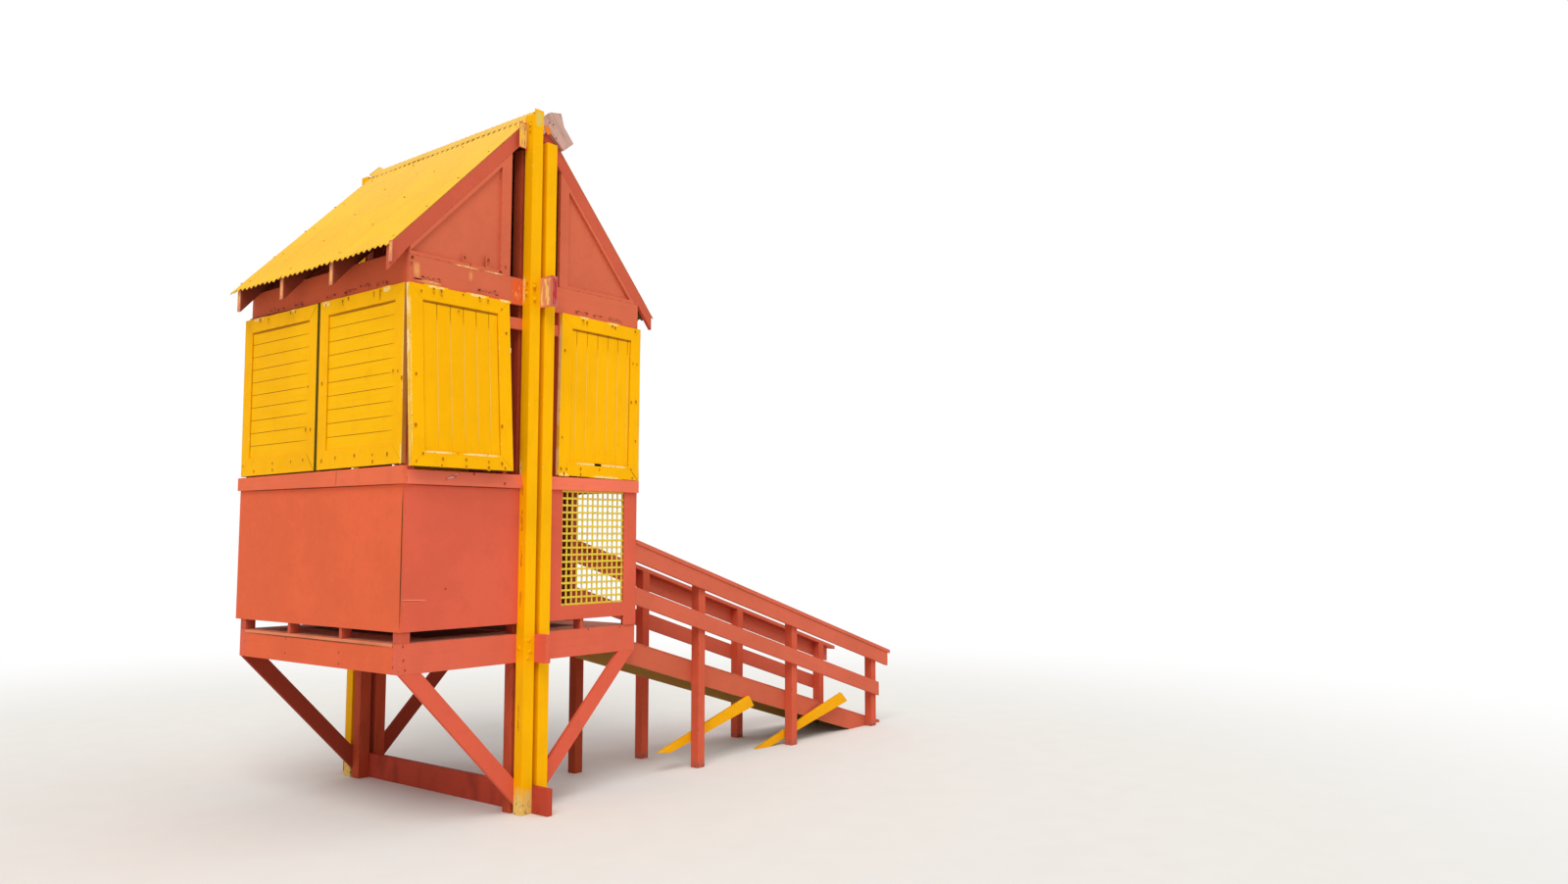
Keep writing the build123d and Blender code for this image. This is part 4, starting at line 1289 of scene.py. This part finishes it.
class TOWER_OT_wear(bpy.types.Operator):
    """Rust drips, scuffs, chips, seams and cracks, with painted shadows and highlights at sills, ledges and a
    crease
    """

    bl_idname = "tower.wear"
    bl_label = "Wear"

    def execute(self, context):
        colours, _ = chosen(context)
        yellow, red = colours.yellow, colours.red
        smear = (1, 1, 0.5)
        even = (1, 1, 1)
        spots = on_shutters(SHUTTER_RUST, 2.5, 1.5)
        marks = [((0.50, 0.17, 0.005), 60, (1, 1, 0.3), 0.55, 0.3)]
        marks += [((0.09, 0.03, 0.008), 80, (1, 1, 0.4), 0.98, 0.08)]
        stained("shutter_rust", spots, yellow, "z", marks, 0.0011)
        # Chips on the shutters, and painted highlights along the fields' lower ledges
        spots = on_shutters(SHUTTER_CHIPS_AND_HIGHLIGHTS, 1.0, 2.0)
        marks = [((0.97, 0.68, 0.24), 45, (1, 1, 1.2), 0.88, 0.1), ((0.24, 0.11, 0.02), 90, even, 1.13, 0.03)]
        stained("shutter_chips", spots, yellow, "z", marks, 0.0006)

        off = FRONT_WALL - 0.0004
        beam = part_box("eave_beam")[0]
        height = 4.2625
        tails = [(FRONT_WALL - 0.019, 4.36, 0.05, 0.16, 1.0, 2.0)]
        tails += [(FRONT_WALL + DEPTH * k, 4.33 - REAR_DROP * k, 0.05, 0.20) for k in RAFTER_SHARES]
        layers = (
            (
                "lintel_rust", on_wall("front", FRONT_WALL, LINTEL_RUST, firm=1.4), LINTEL_RED, "x",
                ((0.30, 0.055, 0.012), 60, smear, 0.75, 0.25),
                ((0.035, 0.018, 0.02), 90, (1, 1, 0.8), 1.02, 0.05),
            ),
            (
                "lintel_scuffs", on_wall("front", off, LINTEL_SCUFFS), LINTEL_RED, "x",
                ((0.78, 0.30, 0.10), 30, (1, 1, 0.4), 0.72, 0.3), ((0.88, 0.62, 0.36), 60, even, 1.09, 0.05),
            ),
            (
                "lintel_end_paint", on_wall("front", off, [(-0.19, 4.262, 0.12, 0.22)], firm=3.0),
                LINTEL_RED, "x",
                ((0.78, 0.125, 0.035), 12, (1, 1, 0.6), 0.5, 0.2),
                ((0.93, 0.60, 0.16), 40, (2, 1, 0.3), 1.14, 0.04),
            ),
            (
                "sill_scrape",
                on_wall(
                    "front", BOARD_FACE, [(-0.83, 2.684, 0.022, 0.10), (-0.785, 2.712, 0.014, 0.07)],
                    firm=1.3, down=(0.97, 0, 0.25),
                ),
                red, "x", ((0.84, 0.42, 0.36), 40, even, 0.85, 0.2),
            ),
            (
                "post_flakes", on_wall("left", POST_LEFT, POST_FLAKES, firm=1.2), yellow, "z",
                ((0.74, 0.20, 0.012), 40, smear, 0.92, 0.08),
                ((0.30, 0.07, 0.02), 70, (1, 1, 0.6), 1.12, 0.05),
            ),
            (
                "post_primer", on_wall("left", POST_LEFT, POST_PRIMER, firm=1.8), yellow, "z",
                ((0.93, 0.68, 0.24), 30, (1, 1, 0.6), 0.92, 0.14), ((0.45, 0.25, 0.08), 60, even, 1.14, 0.05),
            ),
            (
                "post_top_wear", on_wall("front", POST_FRONT, [(-0.072, 5.745, 0.10, 0.16)], firm=1.2),
                yellow, "z", ((0.70, 0.56, 0.13), 18, even, 0.72, 0.35),
            ),
            (
                "beam_smear", on_wall("left", beam.x, [(beam.y + 0.07, height, 0.17, 0.26)], firm=4.0),
                red, "y",
                ((0.72, 0.29, 0.16), 12, (1, 1, 0.3), 0.3, 0.2),
                ((0.92, 0.62, 0.17), 30, (1, 1, 0.2), 1.04, 0.06),
            ),
            (
                "beam_end_wear", on_wall("front", beam.y, [(0, height, 0.07, 0.26)], firm=4.0), red, "y",
                ((0.50, 0.16, 0.15), 40, (1, 1, 0.3), 0.3, 0.2),
                ((0.52, 0.035, 0.04), 60, (1, 1, 0.15), 0.98, 0.06),
            ),
            (
                "rake_joint_paint",
                on_wall("front", BOARD_FACE, [(0.073, 5.705, 0.05, 0.075)], firm=2.5, down=(0.5, 0, -0.86)),
                red, "sheet",
                ((0.92, 0.24, 0.008), 30, even, 0.5, 0.2), ((0.14, 0.03, 0.01), 45, even, 1.16, 0.05),
            ),
            (
                "rake_top_wear",
                on_wall("front", FRONT_WALL - 0.038, [(-0.19, 5.585, 0.085, 0.22)], firm=2.5),
                red, "sheet",
                ((0.88, 0.52, 0.08), 20, (2, 1, 0.3), 0.5, 0.2),
                ((0.45, 0.20, 0.09), 45, (2, 1, 0.2), 1.05, 0.05),
            ),
            (
                # The rafter ends keep a lighter red, the paint that the rafters' painted shade darkens, with
                # yellow wear over it
                "rafter_tail_wear", on_wall("left", LEFT_WALL - 0.18, tails, firm=1.6),
                (0.72, 0.24, 0.13), "z", ((0.92, 0.45, 0.12), 14, (1, 1, 0.6), 0.98, 0.1),
            ),
        )
        stain_layers(layers[:-2])
        # Bolt holes in the ridge board as flat dark heads, painted shade of their depth
        holes = [(0.087, BOARD_FACE, 5.772), (0.135, BOARD_FACE, 5.771), (0.17, BOARD_FACE, 5.66)]
        dark = rusty_metal("hole_dark", (0.05, 0.03, 0.03))
        mesh_of("ridge_board_holes", domes(holes, -Y, 0.007, 0.0006), dark, closed=True)
        stain_layers(layers[-2:])

        side_sheet, sill, side_rim = LEFT_WALL - SHEET_STAND, LEFT_WALL - 0.038, LEFT_WALL - 0.0045
        corner, joint, rim = FRONT_WALL - 0.009, -0.315, DECK_TOP - 0.026
        starts = [(side_sheet, corner, PANEL_BOTTOM), (sill, joint, PANEL_TOP), (side_rim, 1.08, rim)]
        ends = [(side_sheet, corner, PANEL_TOP), (sill, joint, PANEL_TOP + 0.128), (side_rim, -1.08, rim)]
        seams = ribbons(starts, ends, -X, [0.013, 0.005, 0.005])
        # A dark line under the crease, a painted shadow, in the seam shadow paint
        seams += ribbons((-1.225, SHEET_FACE, 1.753), (-1.05, SHEET_FACE, 1.746), -Y, 0.002)
        # The crease's pale line is a painted highlight
        crease = ribbons((-1.225, SHEET_FACE, 1.760), (-1.00, SHEET_FACE, 1.751), -Y, 0.009)
        # Painted shadows: dark lines under the sills on the left and front sheets
        top = PANEL_TOP - 0.004
        under_sill_shadows = ribbons((side_sheet, FRONT_WALL, top), (side_sheet, REAR_WALL, top), -X, 0.007)
        under_sill_shadows += ribbons((LEFT_WALL, SHEET_FACE, top), (POST_LEFT, SHEET_FACE, top), -Y, 0.007)
        for name, lines, finish in (
            ("seams", seams, timber_paint("seam_shadow", (0.085, 0.035, 0.012))),
            ("panel_crease", crease, timber_paint("crease_pale", (0.92, 0.24, 0.16), "sheet")),
            ("sill_gaps", under_sill_shadows, timber_paint("sill_gap", (0.22, 0.04, 0.02), "sheet")),
        ):
            mesh_of(name, lines, finish, smooth=False)
        return {"FINISHED"}


# Stage and camera, the camera as fitted to the photograph
FLOOR_RADIUS, FLOOR_CORNERS, FLOOR_LEVEL = 60, 96, -0.001
FOCAL_PIXELS, PHOTO_WIDTH, SENSOR_WIDTH = 1161.2, 1600, 36.0
CAMERA_PLACE, CAMERA_HEADING, CAMERA_TILT = (-6.243, -8.611, 2.246), -52.498, 94.647


def pale_floor():
    """Pale round floor that turns to plain white far from the part."""
    work = Finish("floor_pale")
    away = work.add("ShaderNodeVectorMath", {0: work.place}, operation="LENGTH").outputs["Value"]
    far = work.between(away, 6.0, 15.0)
    tone = work.mix(work.noise(3.0, detail=4.0), (0.80, 0.78, 0.74), (0.84, 0.82, 0.79))
    near = work.add("ShaderNodeBsdfDiffuse", {"Color": tone}).outputs[0]
    white = work.add("ShaderNodeEmission", {"Color": (1, 1, 1, 1), "Strength": 1.0}).outputs[0]
    both = work.add("ShaderNodeMixShader", {0: far, 1: near, 2: white}).outputs[0]
    work.add("ShaderNodeOutputMaterial", {"Surface": both})
    angle = np.linspace(0, 2 * math.pi, FLOOR_CORNERS + 1)[:-1]
    rim = points(FLOOR_RADIUS * np.cos(angle), FLOOR_RADIUS * np.sin(angle), FLOOR_LEVEL)
    mesh = bpy.data.meshes.new("floor")
    mesh.from_pydata(rim.tolist(), [], [list(range(FLOOR_CORNERS))])
    mesh.materials.append(work.material)
    return bpy.data.objects.new("floor", mesh)


def studio():
    """World that lights softly, and shows white to the camera, in reflections and through glass."""
    world = bpy.data.worlds.new("studio")
    tree = empty_tree(world)
    path = add_node(tree, "ShaderNodeLightPath").outputs
    seen = path["Is Camera Ray"]
    for ray in ("Is Glossy Ray", "Is Transmission Ray"):
        seen = add_node(tree, "ShaderNodeMath", {0: seen, 1: path[ray]}, operation="MAXIMUM").outputs[0]
    light, backdrop = (
        add_node(tree, "ShaderNodeBackground", {"Color": colour, "Strength": strength}).outputs[0]
        for colour, strength in (((0.97, 0.99, 1.0, 1), 0.62), ((1, 1, 1, 1), 1.0))
    )
    choice = add_node(tree, "ShaderNodeMixShader", {0: seen, 1: light, 2: backdrop}).outputs[0]
    add_node(tree, "ShaderNodeOutputWorld", {"Surface": choice})
    return world


class TOWER_OT_stage(bpy.types.Operator):
    """Pale floor, soft light and the camera"""

    bl_idname = "tower.stage"
    bl_label = "Stage"

    def execute(self, context):
        scene = context.scene
        floor = pale_floor()
        scene.collection.objects.link(floor)
        scene.world = studio()
        for name, away, strength, spread, colour in (
            ("key", (-0.75, -0.62, 1.15), 1.55, 35, (1.0, 0.975, 0.94)),
            ("fill", (0.6, -0.7, 0.9), 0.35, 60, (0.95, 0.98, 1.0)),
        ):
            lamp = bpy.data.lights.new(name, "SUN")
            lamp.energy = strength
            lamp.angle = math.radians(spread)
            lamp.color = colour
            made = bpy.data.objects.new(name, lamp)
            made.rotation_euler = Vector(away).to_track_quat("Z", "Y").to_euler()
            scene.collection.objects.link(made)

        camera = bpy.data.cameras.new("camera")
        camera.sensor_fit = "HORIZONTAL"
        camera.sensor_width = SENSOR_WIDTH
        camera.lens = FOCAL_PIXELS / PHOTO_WIDTH * SENSOR_WIDTH
        camera.clip_end = 200
        made = bpy.data.objects.new("camera", camera)
        heading = Matrix.Rotation(math.radians(CAMERA_HEADING), 4, "Z")
        tilt = Matrix.Rotation(math.radians(CAMERA_TILT), 4, "X")
        made.matrix_world = Matrix.Translation(CAMERA_PLACE) @ heading @ tilt
        scene.collection.objects.link(made)
        scene.camera = made
        scene.view_settings.view_transform = "Standard"
        return {"FINISHED"}


STEPS = (
    TOWER_OT_posts,
    TOWER_OT_platform,
    TOWER_OT_walls,
    TOWER_OT_lattice,
    TOWER_OT_shutters,
    TOWER_OT_roof,
    TOWER_OT_cap,
    TOWER_OT_roof_timber,
    TOWER_OT_ramp,
    TOWER_OT_fasteners,
    TOWER_OT_hinges,
    TOWER_OT_wear,
    TOWER_OT_stage,
)


class TOWER_PT_panel(bpy.types.Panel):
    """Sidebar panel with the tower's sizes, colours and steps"""

    bl_idname = "TOWER_PT_panel"
    bl_label = "Lifeguard Tower"
    bl_space_type = "VIEW_3D"
    bl_region_type = "UI"
    bl_category = "Tower"

    def draw(self, context):
        for group in (context.scene.tower_sizes, context.scene.tower_colours):
            box = self.layout.box()
            for key in own_keys(group):
                box.prop(group, key)
        for step in STEPS:
            self.layout.operator(step.bl_idname)


CLASSES = (TowerSizes, TowerColours, *STEPS, TOWER_PT_panel)


def register():
    """Adds the classes and the scene's properties."""
    for each in CLASSES:
        bpy.utils.register_class(each)
    bpy.types.Scene.tower_sizes = bpy.props.PointerProperty(type=TowerSizes)
    bpy.types.Scene.tower_colours = bpy.props.PointerProperty(type=TowerColours)


def unregister():
    """Takes them away again."""
    del bpy.types.Scene.tower_colours
    del bpy.types.Scene.tower_sizes
    for each in reversed(CLASSES):
        bpy.utils.unregister_class(each)


def main():
    """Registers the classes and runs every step."""
    register()
    for step in STEPS:
        getattr(bpy.ops.tower, step.bl_idname.split(".")[1])()


if __name__ == "__main__":
    main()
